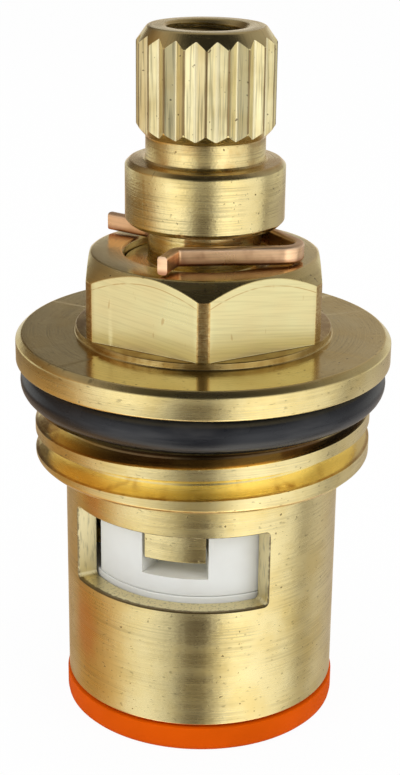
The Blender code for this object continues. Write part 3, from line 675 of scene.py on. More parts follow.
def broached_brass(name):
    """The spline's flanks: upright striations, painted shade on the crests and a painted highlight
    along the valleys.
    """
    recipe = Recipe(name, 0.30, metallic=1.0)
    striations = recipe.noise(recipe.stretched(7600.0, 240.0), 1.0, 2.0, 0.6)
    clouds = recipe.noise(recipe.place, 500.0, 3.0, 0.5)
    pits = recipe.spread(recipe.noise(recipe.place, 3600.0, 1.0, 0.4), 0.72, 0.78)
    radius = recipe.maths("ADD", recipe.radius(), recipe.product(clouds, 0.03 * MM))

    colour = recipe.blend(recipe.spread(clouds, 0.35, 0.75), SPLINE_PALE, BRASS_PALE)
    colour = recipe.shade(colour, recipe.spread(striations, 0.34, 0.54, 0.58, 1.0))
    # Painted highlight: the valleys are painted near-white.
    valley = recipe.spread(radius, SPLINE_ROOT_RADIUS + 0.09 * MM, SPLINE_ROOT_RADIUS + 0.02 * MM,
                           0.0, 0.75)
    colour = recipe.blend(valley, colour, PALE_PAINTED_HIGHLIGHT)
    # Painted shade: the crests are painted dark brown.
    crest = recipe.spread(radius, SPLINE_CREST_RADIUS - 0.03 * MM, SPLINE_CREST_RADIUS + 0.01 * MM,
                          0.0, 0.85)
    colour = recipe.blend(crest, colour, CREST_PAINTED_SHADE)
    recipe.feed("Base Color", recipe.blend(recipe.product(pits, 0.8), colour, PIT_BROWN))
    recipe.feed("Roughness", recipe.spread(clouds, 0.30, 0.75, 0.40, 0.48))
    recipe.feed("Normal", recipe.relief(striations, 0.0120 * MM))
    return recipe.material


def milled_brass(name):
    """The hexagon's flats: pale, nearly matte, with fine straight cutter lines and a few nicks."""
    recipe = Recipe(name, 0.34, metallic=1.0)
    x, y, z = recipe.parts(recipe.place)
    slanted = recipe.maths("ADD", z, recipe.product(x, 0.14))
    lines = recipe.noise(recipe.stretched(220.0, 7500.0, slanted), 1.0, 2.0, 0.6)
    nicks = recipe.spread(recipe.noise(recipe.stretched(2600.0, 900.0), 1.0, 1.0, 0.4),
                          0.72, 0.80)
    clouds = recipe.noise(recipe.place, 300.0, 3.0, 0.5)

    # A thin scribed line follows the chamfer's curve, a little below it.
    below = recipe.maths("SUBTRACT", HEX_TOP + HEX_TOP_FACE_RADIUS - SCRIBE_DROP,
                         recipe.maths("ADD", recipe.radius(), z))
    below = recipe.maths("ADD", below, recipe.product(clouds, 0.12 * MM))
    scribe = recipe.spread(recipe.maths("ABSOLUTE", recipe.maths("SUBTRACT", below, 0.06 * MM)),
                           0.045 * MM, 0.015 * MM)
    scribe = recipe.product(scribe, recipe.spread(lines, 0.35, 0.55))

    colour = recipe.blend(recipe.spread(clouds, 0.30, 0.75), MILLED_PALE, BRASS_PALE)
    colour = recipe.shade(colour, recipe.spread(lines, 0.28, 0.60, 0.82, 0.93))
    colour = recipe.blend(recipe.product(nicks, 0.45), colour, BRASS_TARNISH_AND_SHADE)
    recipe.feed("Base Color", recipe.blend(recipe.product(scribe, 0.6), colour, BRASS_TARNISH_AND_SHADE))
    recipe.feed("Roughness", recipe.spread(clouds, 0.30, 0.75, 0.26, 0.36))
    recipe.feed("Normal", recipe.relief(lines, 0.0030 * MM))
    return recipe.material


def sawn_brass(name):
    """The windows' cut faces: painted paler as a highlight, rough, with cutter marks and a dark
    outer edge.
    """
    recipe = Recipe(name, 0.46, metallic=1.0)
    marks = recipe.noise(recipe.stretched(6500.0, 900.0), 1.0, 2.0, 0.6)
    # Painted highlight: the cut faces are mixed towards near-white.
    colour = recipe.shade(recipe.blend(0.65, BRASS_PALE, PALE_PAINTED_HIGHLIGHT),
                          recipe.spread(marks, 0.30, 0.50, 0.70, 1.0))
    burrs = recipe.noise(recipe.place, 2600.0, 2.0, 0.6)
    radius = recipe.maths("ADD", recipe.radius(), recipe.product(burrs, 0.30 * MM))
    on_sill = recipe.spread(recipe.parts(recipe.place)[2],
                            WINDOW_BOTTOM + 0.06 * MM, WINDOW_BOTTOM + 0.02 * MM)
    start = recipe.maths("SUBTRACT", SKIRT_RADIUS + 0.02 * MM,
                         recipe.product(on_sill, 0.20 * MM))
    edge = recipe.spread(recipe.maths("SUBTRACT", radius, start), 0.0, 0.12 * MM, 0.0, 0.80)
    recipe.feed("Base Color", recipe.blend(edge, colour, EDGE_BROWN))
    recipe.feed("Normal", recipe.relief(marks, 0.005 * MM))
    return recipe.material


def rolled_copper_alloy(name):
    """Phosphor-bronze wire: drawn lines along the bends, painted shade on the lower edge and a
    painted highlight on the upper one.
    """
    recipe = Recipe(name, 0.30, metallic=1.0)
    height = recipe.parts(recipe.place)[2]
    lines = recipe.noise(recipe.stretched(260.0, 6500.0), 1.0, 2.0, 0.6)
    clouds = recipe.noise(recipe.place, 520.0, 3.0, 0.55)
    # Painted shade: the lower edge is painted red-brown.
    lower_edge_shade = recipe.spread(height, CLIP_BOTTOM + 0.45 * MM, CLIP_BOTTOM + 0.08 * MM,
                               0.0, 0.85)
    # Painted highlight: the upper edge is painted pale and made rougher.
    upper_edge_highlight = recipe.spread(height, CLIP_TOP - 0.24 * MM, CLIP_TOP - 0.06 * MM)
    colour = recipe.blend(recipe.spread(clouds, 0.50, 0.85), COPPER_PALE, COPPER_RED_AND_SHADE)
    colour = recipe.blend(lower_edge_shade, colour, COPPER_RED_AND_SHADE)
    colour = recipe.blend(recipe.product(upper_edge_highlight, 0.7), colour, COPPER_PAINTED_HIGHLIGHT)
    colour = recipe.shade(colour, recipe.spread(lines, 0.30, 0.62, 0.84, 1.0))
    recipe.feed("Base Color", colour)
    rough = recipe.spread(clouds, 0.30, 0.75, 0.24, 0.40)
    recipe.feed("Roughness", recipe.maths("ADD", rough, recipe.product(upper_edge_highlight, 0.2)))
    recipe.feed("Normal", recipe.relief(lines, 0.0022 * MM))
    return recipe.material


def ground_ceramic(name):
    recipe = Recipe(name, 0.38, specular=0.45)
    clouds = recipe.noise(recipe.place, 340.0, 3.0, 0.5)
    grain = recipe.noise(recipe.place, 9000.0, 2.0, 0.6)
    colour = recipe.blend(recipe.spread(clouds, 0.45, 0.80, 0.0, 0.6), CERAMIC_WHITE,
                          CERAMIC_SHADE)
    recipe.feed("Base Color", colour)
    recipe.feed("Roughness", recipe.spread(clouds, 0.30, 0.75, 0.32, 0.46))
    recipe.feed("Normal", recipe.relief(grain, 0.0012 * MM))
    return recipe.material


def black_rubber(name):
    """Moulded rubber with a faint bloom in streaks that follow the ring."""
    recipe = Recipe(name, 0.30, specular=0.32)
    streaks = recipe.noise(recipe.round_the_axis(2.4, 1900.0), 1.0, 3.0, 0.6)
    grain = recipe.noise(recipe.place, 7000.0, 2.0, 0.6)
    bloom = recipe.spread(streaks, 0.46, 0.70, 0.0, 0.8)
    recipe.feed("Base Color", recipe.blend(bloom, RUBBER_BLACK, RUBBER_DUST))
    recipe.feed("Roughness", recipe.spread(streaks, 0.30, 0.75, 0.22, 0.36))
    recipe.feed("Normal", recipe.relief(grain, 0.0030 * MM))
    return recipe.material


def moulded_silicone(name):
    recipe = Recipe(name, 0.66, specular=0.05)
    grain = recipe.noise(recipe.place, 5200.0, 3.0, 0.6)
    clouds = recipe.noise(recipe.place, 300.0, 2.0, 0.5)
    deep = tuple(0.88 * share for share in SEAL_ORANGE)
    recipe.feed("Base Color", recipe.blend(recipe.spread(clouds, 0.35, 0.75), SEAL_ORANGE, deep))
    recipe.feed("Roughness", recipe.spread(clouds, 0.30, 0.75, 0.56, 0.70))
    recipe.feed("Normal", recipe.relief(grain, 0.0040 * MM))
    return recipe.material


def moulded_acetal(name):
    recipe = Recipe(name, 0.45)
    clouds = recipe.noise(recipe.place, 600.0, 3.0, 0.5)
    shade = tuple(0.85 * share for share in ACETAL_WHITE)
    recipe.feed("Base Color", recipe.blend(clouds, ACETAL_WHITE, shade))
    recipe.feed("Normal", recipe.relief(recipe.noise(recipe.place, 6000.0), 0.0020 * MM))
    return recipe.material


def tree_with_inputs(name, wanted):
    """A Geometry Nodes tree with one geometry output and the named inputs."""
    tree = bpy.data.node_groups.new(name, "GeometryNodeTree")
    tree.interface.new_socket("Geometry", in_out="OUTPUT", socket_type="NodeSocketGeometry")
    tree.interface.new_socket("Geometry", in_out="INPUT", socket_type="NodeSocketGeometry")
    for label, kind in wanted:
        tree.interface.new_socket(label, in_out="INPUT", socket_type=kind)
    given = tree.nodes.new("NodeGroupInput").outputs
    return tree, given


def close_tree(tree, geometry, material):
    """Ends a tree: instances made real, the finish set, and the result handed out."""
    real = put(tree, "GeometryNodeRealizeInstances", None, {"Geometry": geometry}).outputs[0]
    painted = put(tree, "GeometryNodeSetMaterial", None,
                  {"Geometry": real, "Material": material}).outputs[0]
    result = tree.nodes.new("NodeGroupOutput")
    tree.links.new(painted, result.inputs[0])


def run_tree(item, tree, values):
    """Puts a tree on an object, with its named inputs set by their identifiers."""
    step = item.modifiers.new(tree.name, "NODES")
    step.node_group = tree
    for socket in tree.interface.items_tree:
        if socket.in_out == "INPUT" and socket.name in values:
            step[socket.identifier] = values[socket.name]
    return item


def wire_tree():
    """A flat wire with rounded edges, drawn along a level path."""
    tree, given = tree_with_inputs("flat_wire", (
        ("Thickness", "NodeSocketFloat"), ("Height", "NodeSocketFloat"),
        ("Edge round", "NodeSocketFloat"), ("Finish", "NodeSocketMaterial")))
    section = put(tree, "GeometryNodeCurvePrimitiveQuadrilateral", {"mode": "RECTANGLE"},
                  {"Width": given["Thickness"], "Height": given["Height"]}).outputs[0]
    section = put(tree, "GeometryNodeFilletCurve", {"mode": "POLY"},
                  {"Curve": section, "Count": 5, "Radius": given["Edge round"]}).outputs[0]
    path = put(tree, "GeometryNodeSetCurveNormal", {"mode": "Z_UP"},
               {"Curve": given["Geometry"]}).outputs[0]
    wire = put(tree, "GeometryNodeCurveToMesh", None,
               {"Curve": path, "Profile Curve": section, "Fill Caps": True}).outputs[0]
    close_tree(tree, wire, given["Finish"])
    return tree


def groove_tree():
    """A cutter for a screw thread: an outline swept along a right-hand helix."""
    tree, given = tree_with_inputs("thread_groove", (
        ("Outline", "NodeSocketObject"), ("Radius", "NodeSocketFloat"),
        ("Rise", "NodeSocketFloat"), ("Turns", "NodeSocketFloat"),
        ("Start", "NodeSocketVector"), ("Turned", "NodeSocketVector"),
        ("Depth", "NodeSocketFloat"), ("Lead in", "NodeSocketFloat"),
        ("Run out", "NodeSocketFloat"), ("Finish", "NodeSocketMaterial")))
    steps = Nodes(tree)
    helix = put(tree, "GeometryNodeCurveSpiral", None,
                {"Resolution": 96, "Rotations": given["Turns"], "Start Radius": given["Radius"],
                 "End Radius": given["Radius"], "Height": given["Rise"],
                 "Reverse": True}).outputs[0]
    helix = put(tree, "GeometryNodeTransform", None,
                {"Geometry": helix, "Translation": given["Start"],
                 "Rotation": given["Turned"]}).outputs[0]

    # The outline leaves the material at both ends, so that the groove eases in and runs out.
    share = tree.nodes.new("GeometryNodeSplineParameter").outputs["Factor"]
    turn = steps.product(share, given["Turns"])
    left_over = steps.maths("SUBTRACT", given["Turns"], turn)
    eased = steps.maths("MINIMUM", steps.maths("DIVIDE", turn, given["Lead in"]),
                        steps.maths("DIVIDE", left_over, given["Run out"]))
    not_eased = steps.maths("SUBTRACT", 1.0, steps.maths("MINIMUM", eased, 1.0))
    lifted = steps.product(given["Depth"], not_eased)
    spot = tree.nodes.new("GeometryNodeInputPosition").outputs[0]
    outwards = steps.vector("NORMALIZE", steps.vector("MULTIPLY", spot, (1.0, 1.0, 0.0)))
    shift = put(tree, "ShaderNodeVectorMath", {"operation": "SCALE"},
                {0: outwards, "Scale": lifted}).outputs[0]
    helix = put(tree, "GeometryNodeSetPosition", None,
                {"Geometry": helix, "Offset": shift}).outputs[0]
    helix = put(tree, "GeometryNodeSetCurveNormal", {"mode": "Z_UP"}, {"Curve": helix}).outputs[0]
    outline = put(tree, "GeometryNodeObjectInfo", None,
                  {"Object": given["Outline"]}).outputs["Geometry"]
    cutter = put(tree, "GeometryNodeCurveToMesh", None,
                 {"Curve": helix, "Profile Curve": outline, "Fill Caps": True}).outputs[0]
    close_tree(tree, cutter, given["Finish"])
    return tree


def teeth_tree():
    """Cuts the same groove out of a blank, repeated evenly round the axis."""
    tree, given = tree_with_inputs("spline_teeth", (
        ("Teeth", "NodeSocketInt"), ("Groove", "NodeSocketObject"),
        ("Finish", "NodeSocketMaterial")))
    places = put(tree, "GeometryNodeMeshLine", {"mode": "OFFSET"},
                 {"Count": given["Teeth"], "Offset": (0.0, 0.0, 0.0)}).outputs[0]
    index = tree.nodes.new("GeometryNodeInputIndex").outputs[0]
    steps = Nodes(tree)
    turn = steps.product(steps.maths("DIVIDE", index, given["Teeth"]), 2 * math.pi)
    turned = put(tree, "ShaderNodeCombineXYZ", None, {2: turn}).outputs[0]
    groove = put(tree, "GeometryNodeObjectInfo", None,
                 {"Object": given["Groove"]}).outputs["Geometry"]
    grooves = put(tree, "GeometryNodeInstanceOnPoints", None,
                  {"Points": places, "Instance": groove, "Rotation": turned}).outputs[0]
    grooves = put(tree, "GeometryNodeRealizeInstances", None, {"Geometry": grooves}).outputs[0]
    toothed = put(tree, "GeometryNodeMeshBoolean", {"operation": "DIFFERENCE"},
                  {0: given["Geometry"], 1: grooves}).outputs[0]
    close_tree(tree, toothed, given["Finish"])
    return tree


def straight_stretches(name, points, height, dimensions, closed):
    """A curve of straight stretches through flat points, all at one height."""
    curve = bpy.data.curves.new(name, "CURVE")
    curve.dimensions = dimensions
    spline = curve.splines.new("POLY")
    spline.points.add(len(points) - 1)
    for point, (x, y) in zip(spline.points, points):
        point.co = (x, y, height, 1.0)
    spline.use_cyclic_u = closed
    return curve


def helical_cutter(name, outline, radius, pitch, start, turns, eases, finish):
    """A thread's groove, whose outline starts at a given height at the front.

    In the outline x points away from the axis and y points up.
    """
    lead_in, run_out = eases
    depth = -min(x for x, y in outline)
    outline_name = name + "_outline"
    drawn = new_object(outline_name, straight_stretches(outline_name, outline, 0.0, "2D", True))
    holder = new_object(name, bpy.data.meshes.new(name))
    run_tree(holder, groove_tree(), {
        "Outline": drawn, "Radius": radius, "Rise": pitch * turns, "Turns": turns,
        "Start": Vector((0.0, 0.0, start)), "Turned": Vector((0.0, 0.0, math.radians(-90))),
        "Depth": depth, "Lead in": lead_in, "Run out": run_out, "Finish": finish})
    plain_mesh(holder)
    bpy.data.objects.remove(drawn, do_unlink=True)
    work = bmesh.new()
    work.from_mesh(holder.data)
    bmesh.ops.recalc_face_normals(work, faces=work.faces)
    work.to_mesh(holder.data)
    work.free()
    return holder


def groove_outline(depth, crest_gap, root_share, over):
    """A V with a rounded root, from over one crest down its flank, and up the other flank."""
    crest_bevel = 0.06 * MM
    edge = crest_gap / 2 + crest_bevel
    deepest = math.sqrt(1 + root_share ** 2) - root_share
    points = [(over, -edge - crest_bevel), (crest_bevel, -edge)]
    for i in range(13):
        t = -1 + 2 * i / 12
        rise = (math.sqrt(t * t + root_share ** 2) - root_share) / deepest
        points.append((-depth + depth * rise, t * crest_gap / 2))
    return points + [(crest_bevel, edge), (over, edge + crest_bevel)]


def window_cutter(name, azimuth):
    """A water window with rounded corners, flared a little where it meets the outside."""
    levels = ((CHAMBER_RADIUS - CUT_OVERSHOOT, 0.0), (SKIRT_RADIUS - WINDOW_FLARE, 0.0),
              (SKIRT_RADIUS + CUT_OVERSHOOT, WINDOW_FLARE + CUT_OVERSHOOT))
    work = bmesh.new()
    rings = []
    for radius, grow in levels:
        half = math.radians(WINDOW_SPAN / 2) * SKIRT_RADIUS + grow
        round_size = WINDOW_CORNER + grow
        bends = [round_size * (1 - math.cos(math.pi / 2 * i / 6)) for i in range(7)]
        along = [-half + bend for bend in bends]
        along += [(-half + round_size) + (half - round_size) * 2 * i / 40 for i in range(1, 40)]
        along += [half - bend for bend in bends[::-1]]
        upper = []
        lower = []
        for s in along:
            near = max(0.0, round_size - (half - abs(s)))
            drop = round_size - math.sqrt(max(0.0, round_size ** 2 - near ** 2))
            place = azimuth + math.degrees(s / SKIRT_RADIUS)
            upper.append(work.verts.new(at(radius, place, WINDOW_TOP + grow - drop)))
            lower.append(work.verts.new(at(radius, place, WINDOW_BOTTOM - grow + drop)))
        rings.append((upper, lower))
    for (upper, lower), (next_upper, next_lower) in zip(rings, rings[1:]):
        for i in range(len(upper) - 1):
            work.faces.new((upper[i], upper[i + 1], next_upper[i + 1], next_upper[i]))
            work.faces.new((lower[i], lower[i + 1], next_lower[i + 1], next_lower[i]))
        work.faces.new((upper[0], lower[0], next_lower[0], next_upper[0]))
        work.faces.new((upper[-1], lower[-1], next_lower[-1], next_upper[-1]))
    for upper, lower in (rings[0], rings[-1]):
        for i in range(len(upper) - 1):
            work.faces.new((upper[i], upper[i + 1], lower[i + 1], lower[i]))
    return outward_shape(name, work)


def hex_radius(azimuth):
    """The hexagon's outline, with a corner at azimuth 0, inside the round of its blank."""
    from_flat = math.radians(azimuth % 60 - 30)
    return min(HEX_FLAT_RADIUS / math.cos(from_flat), HEX_LAND_RADIUS)


def body_profile(azimuth):
    """Down the body's outside, then up the chamber and the bore."""
    side = hex_radius(azimuth)
    shoulder = HEX_TOP - (side - HEX_TOP_FACE_RADIUS)
    key = KEY_RADIUS if within(azimuth, KEY_AZIMUTH, KEY_SPAN) else CHAMBER_RADIUS
    rib = STOP_RIB_RADIUS if within(azimuth, STOP_RIB_AZIMUTH, STOP_RIB_SPAN) else CHAMBER_RADIUS
    key_top = FIXED_TOP - KEY_DROP
    return [
        (BORE_RADIUS + BORE_MOUTH, HEX_TOP, 0.04 * MM),
        (HEX_TOP_FACE_RADIUS, HEX_TOP, 0.10 * MM),
        (side, shoulder, 0.07 * MM),
        (side, BOSS_TOP, 0.06 * MM),
        (HEX_LAND_RADIUS, BOSS_TOP, 0.12 * MM),
        (HEX_LAND_RADIUS, FLANGE_TOP, 0.14 * MM),
        (FLANGE_RADIUS - FLANGE_TOP_CHAMFER, FLANGE_TOP, 0.08 * MM),
        (FLANGE_RADIUS, FLANGE_TOP - FLANGE_TOP_CHAMFER, 0.08 * MM),
        (FLANGE_RADIUS, FLANGE_BOTTOM + FLANGE_LOWER_CHAMFER, 0.06 * MM),
        (FLANGE_RADIUS - FLANGE_LOWER_CHAMFER, FLANGE_BOTTOM, 0.06 * MM),
        (RING_SEAT_RADIUS, FLANGE_BOTTOM, 0.15 * MM),
        (RING_SEAT_RADIUS, THREAD_TOP, 0.15 * MM),
        (THREAD_RADIUS - THREAD_CHAMFER, THREAD_TOP, 0.08 * MM),
        (THREAD_RADIUS, THREAD_TOP - THREAD_CHAMFER, 0.08 * MM),
        (THREAD_RADIUS, THREAD_BOTTOM + THREAD_CHAMFER, 0.08 * MM),
        (THREAD_RADIUS - THREAD_CHAMFER, THREAD_BOTTOM, 0.08 * MM),
        (SKIRT_RADIUS, THREAD_BOTTOM, 0.12 * MM),
        (SKIRT_RADIUS, SKIRT_END + SKIRT_CHAMFER, 0.06 * MM),
        (SKIRT_RADIUS - SKIRT_CHAMFER, SKIRT_END, 0.06 * MM),
        (CHAMBER_RADIUS, SKIRT_END, 0.06 * MM),
        (CHAMBER_RADIUS, FIXED_BOTTOM, 0.0),
        (key, FIXED_BOTTOM, 0.0),
        (key, key_top, 0.0),
        (CHAMBER_RADIUS, key_top, 0.0),
        (CHAMBER_RADIUS, PLATE_BOTTOM, 0.0),
        (rib, PLATE_BOTTOM, 0.0),
        (rib, CHAMBER_CEILING, 0.0),
        (BORE_RADIUS, CHAMBER_CEILING, 0.0),
        (BORE_RADIUS, HEX_TOP - BORE_MOUTH, 0.04 * MM),
    ]


def make_body(brass, milled, sawn):
    land_half = 30 - math.degrees(math.acos(HEX_FLAT_RADIUS / HEX_LAND_RADIUS))
    marks = sides_of(STOP_RIB_AZIMUTH, STOP_RIB_SPAN) + sides_of(KEY_AZIMUTH, KEY_SPAN)
    for corner in range(0, 360, 60):
        for end in (-1, 1):
            marks += [corner + end * (land_half - 0.45), corner + end * (land_half + 0.45)]
    body = skin("body_brass_shell", stations(BODY_STEPS, marks, 0.7), body_profile)

    depth = THREAD_RADIUS - THREAD_ROOT_RADIUS
    outline = groove_outline(depth, THREAD_PITCH - THREAD_CREST, 0.90, 0.35 * MM)
    start = THREAD_BOTTOM - THREAD_START_DROP
    turns = (THREAD_TOP + THREAD_END_RISE - start) / THREAD_PITCH
    groove = helical_cutter("body_thread_groove", outline, THREAD_RADIUS, THREAD_PITCH, start,
                            turns, (THREAD_LEAD_IN_TURNS, THREAD_RUN_OUT_TURNS), brass)
    cut(body, groove, window_cutter("front_window", WINDOW_AZIMUTH),
        window_cutter("back_window", WINDOW_AZIMUTH + 180))
    dress(body, "housing", "body_brass", brass, milled, sawn, nodes=["body"])
    flats = [at(1.0, 30 + 60 * i) for i in range(6)]
    for face in body.data.polygons:
        spot = face.center
        on_flat = spot.z > BOSS_TOP and any(
            face.normal.dot(flat) > FLAT_ALIGNMENT
            and abs(spot.dot(flat) - HEX_FLAT_RADIUS) < FLAT_TOLERANCE
            for flat in flats)
        out = face.normal.xy.dot(spot.xy.normalized())
        in_wall = CHAMBER_RADIUS + 0.03 * MM < spot.xy.length < SKIRT_RADIUS - 0.01 * MM
        by_window = WINDOW_BOTTOM - 0.2 * MM < spot.z < WINDOW_TOP + 0.2 * MM
        if on_flat:
            face.material_index = SECOND_FINISH
        elif in_wall and by_window and abs(out) < 0.8:
            face.material_index = THIRD_FINISH
    return body


def stem_profile(azimuth):
    """Down the stem's outside from the screw hole's floor, to the drive plate and its lugs."""
    in_notch = within(azimuth, STOP_NOTCH_AZIMUTH, STOP_NOTCH_SPAN)
    plate = STOP_NOTCH_RADIUS if in_notch else DISC_RADIUS
    in_lug = within(azimuth, LUG_AZIMUTH, LUG_SPAN)
    lug_bottom = LUG_BOTTOM if in_lug else PLATE_BOTTOM
    lug_outer = min(LUG_OUTER_RADIUS, plate - 0.02 * MM)
    hole_floor = STEM_TOP - SCREW_HOLE_DEPTH
    drill_point = SCREW_HOLE_RADIUS / math.tan(math.radians(DRILL_HALF_ANGLE))
    mouth_depth = SCREW_MOUTH_RADIUS - SCREW_HOLE_RADIUS
    points = [
        (0.0, hole_floor - drill_point, 0.0),
        (SCREW_HOLE_RADIUS, hole_floor, 0.0),
        (SCREW_HOLE_RADIUS, STEM_TOP - mouth_depth, 0.0),
        (SCREW_MOUTH_RADIUS, STEM_TOP, 0.10 * MM),
        (SPLINE_FACE_RADIUS, STEM_TOP, 0.14 * MM),
        (SPLINE_CREST_RADIUS, STEM_TOP - SPLINE_TOP_CHAMFER, 0.08 * MM),
        (SPLINE_CREST_RADIUS, SPLINE_BOTTOM + SPLINE_LEAD_OUT, 0.08 * MM),
        (NECK_RADIUS, SPLINE_BOTTOM, 0.10 * MM),
        (NECK_RADIUS, COLLAR_TOP, 0.32 * MM),
        (STEM_RADIUS - COLLAR_CHAMFER, COLLAR_TOP, 0.08 * MM),
        (STEM_RADIUS, COLLAR_TOP - COLLAR_CHAMFER, 0.08 * MM),
        (STEM_RADIUS, COLLAR_BOTTOM + COLLAR_CHAMFER, 0.08 * MM),
        (STEM_RADIUS - COLLAR_CHAMFER, COLLAR_BOTTOM, 0.08 * MM),
        (CLIP_GROOVE_RADIUS, COLLAR_BOTTOM, 0.12 * MM),
        (CLIP_GROOVE_RADIUS, CLIP_GROOVE_BOTTOM, 0.12 * MM),
        (STEM_RADIUS, CLIP_GROOVE_BOTTOM, 0.06 * MM),
    ]
    for low, high in ((UPPER_RING_BOTTOM, UPPER_RING_TOP), (LOWER_RING_BOTTOM, LOWER_RING_TOP)):
        middle = (low + high) / 2
        half = RING_GROOVE_WIDTH / 2
        points += [
            (STEM_RADIUS, middle + half, 0.08 * MM),
            (RING_GROOVE_RADIUS, middle + half, 0.10 * MM),
            (RING_GROOVE_RADIUS, middle - half, 0.10 * MM),
            (STEM_RADIUS, middle - half, 0.08 * MM),
        ]
    points += [
        (STEM_RADIUS, PLATE_TOP, 0.10 * MM),
        (plate, PLATE_TOP, 0.08 * MM),
        (plate, PLATE_BOTTOM, 0.02 * MM),
        (lug_outer, PLATE_BOTTOM, 0.0),
        (lug_outer, lug_bottom, LUG_ROUND),
        (LUG_INNER_RADIUS, lug_bottom, LUG_ROUND),
        (LUG_INNER_RADIUS, PLATE_BOTTOM, 0.0),
        (0.0, PLATE_BOTTOM, 0.0),
    ]
    return points


def groove_between_teeth(name):
    """An upright wedge that leaves a straight-sided V between two crests of the spline."""
    half_pitch = 180 / SPLINE_TEETH
    crest_edge = at(SPLINE_CREST_RADIUS, half_pitch - SPLINE_CREST_LAND / 2)
    root_edge = at(SPLINE_ROOT_RADIUS, SPLINE_ROOT_HALF_LAND)
    flank = (crest_edge - root_edge).normalized()
    outer_edge = crest_edge + flank * CUT_OVERSHOOT
    outline = [Vector((-outer_edge.x, outer_edge.y)), Vector((-root_edge.x, root_edge.y)),
               Vector((root_edge.x, root_edge.y)), Vector((outer_edge.x, outer_edge.y))]
    turn = Matrix.Rotation(math.radians(half_pitch), 2)
    outline = [turn @ point for point in outline]
    work = bmesh.new()
    rings = []
    for height in (SPLINE_BOTTOM - CUT_OVERSHOOT, STEM_TOP + CUT_OVERSHOOT):
        rings.append([work.verts.new((point.x, point.y, height)) for point in outline])
    for i in range(4):
        j = (i + 1) % 4
        work.faces.new((rings[0][i], rings[0][j], rings[1][j], rings[1][i]))
    for ring in rings:
        work.faces.new(ring)
    return outward_shape(name, work)


def make_stem(brass, broached):
    marks = sides_of(STOP_NOTCH_AZIMUTH, STOP_NOTCH_SPAN) + sides_of(LUG_AZIMUTH, LUG_SPAN)
    stem = skin("stem_brass_shell", stations(STEM_STEPS, marks), stem_profile, closed=False)

    wedge = groove_between_teeth("spline_groove")
    run_tree(stem, teeth_tree(), {"Teeth": SPLINE_TEETH, "Groove": wedge, "Finish": brass})
    plain_mesh(stem)
    bpy.data.objects.remove(wedge, do_unlink=True)

    depth = SCREW_THREAD_RADIUS - SCREW_HOLE_RADIUS
    inward = 0.10 * MM
    outline = [(-depth - inward, -0.36 * MM), (0.0, -0.05 * MM), (0.0, 0.05 * MM),
               (-depth - inward, 0.36 * MM)]
    thread = helical_cutter("screw_thread_groove", outline, SCREW_THREAD_RADIUS, SCREW_PITCH,
                            STEM_TOP - (SCREW_TURNS - 1) * SCREW_PITCH, SCREW_TURNS,
                            (SCREW_RUN_IN_TURNS, SCREW_RUN_IN_TURNS), brass)
    cut(stem, thread)
    dress(stem, "spindle", "stem_brass", brass, broached, sharp_angle=20.0, nodes=["stem"])
    for face in stem.data.polygons:
        spot = face.center
        on_head = spot.z > SPLINE_BOTTOM and spot.xy.length > NECK_RADIUS + 0.10 * MM
        if on_head and abs(face.normal.z) < 0.10:
            face.material_index = SECOND_FINISH
    return stem


def rounded(before, corner, after, radius):
    """The points of a round of the given radius in a path's corner."""
    corner = Vector(corner)
    back = (Vector(before) - corner).normalized()
    ahead = (Vector(after) - corner).normalized()
    half = back.angle(ahead) / 2
    reach = radius / math.tan(half)
    centre = corner + (back + ahead).normalized() * radius / math.sin(half)
    first = corner + back * reach - centre
    last = corner + ahead * reach - centre
    turn = math.atan2(first.x * last.y - first.y * last.x, first.dot(last))
    count = max(6, math.ceil(abs(math.degrees(turn)) / 6))
    points = []
    for i in range(count + 1):
        spoke = Matrix.Rotation(turn * i / count, 2) @ first
        points.append(centre + spoke)
    return points


def clip_path():
    """The flat wire's middle line, seen from above, from the back leg round to the front leg."""
    back_turn = CLIP_BACK_LEG_AZIMUTH + CLIP_BACK_LEG_LEAN
    back_corner = at(CLIP_GRIP_RADIUS, CLIP_BACK_LEG_AZIMUTH).xy
    back_tip = back_corner + at(CLIP_BACK_LEG, back_turn).xy

    # The wire hugs the groove behind the stem, and both of its ends leave it along tangents.
    first = CLIP_BACK_LEG_AZIMUTH - CLIP_BEND_LEAD
    last = CLIP_BACK_AZIMUTH - 360
    hug = [at(CLIP_GRIP_RADIUS, first + (last - first) * i / 40).xy for i in range(41)]
    half_wrap = (CLIP_BACK_AZIMUTH - CLIP_FRONT_AZIMUTH) / 2
    loop_corner = at(CLIP_GRIP_RADIUS / math.cos(math.radians(half_wrap)),
                     CLIP_FRONT_AZIMUTH + half_wrap).xy

    front_corner = (at(CLIP_GRIP_RADIUS, CLIP_FRONT_AZIMUTH)
                    - at(CLIP_FRONT_TAIL, CLIP_FRONT_AZIMUTH + 90)).xy
    front_tip = front_corner - at(CLIP_FRONT_LEG, CLIP_FRONT_AZIMUTH + CLIP_FRONT_LEG_TURN
                                  + 90).xy

    path = [back_tip]
    path += rounded(back_tip, back_corner, hug[0], CLIP_BEND_RADIUS)
    path += hug
    path += rounded(hug[-1], loop_corner, front_corner, CLIP_LOOP_RADIUS)
    path += rounded(loop_corner, front_corner, front_tip, CLIP_BEND_RADIUS)
    path.append(front_tip)
    return path


def make_clip(finish):
    middle = (CLIP_BOTTOM + CLIP_TOP) / 2
    path = straight_stretches("clip_path", clip_path(), middle, "3D", False)
    clip = new_object("retaining_clip_wire", path)
    run_tree(clip, wire_tree(), {"Thickness": CLIP_THICKNESS, "Height": CLIP_HEIGHT,
                                 "Edge round": CLIP_EDGE_ROUND, "Finish": finish})
    clip = plain_mesh(clip)
    return dress(clip, "spindle", "phosphor_bronze", finish, sharp_angle=40.0,
                 nodes=["retaining_clip"])


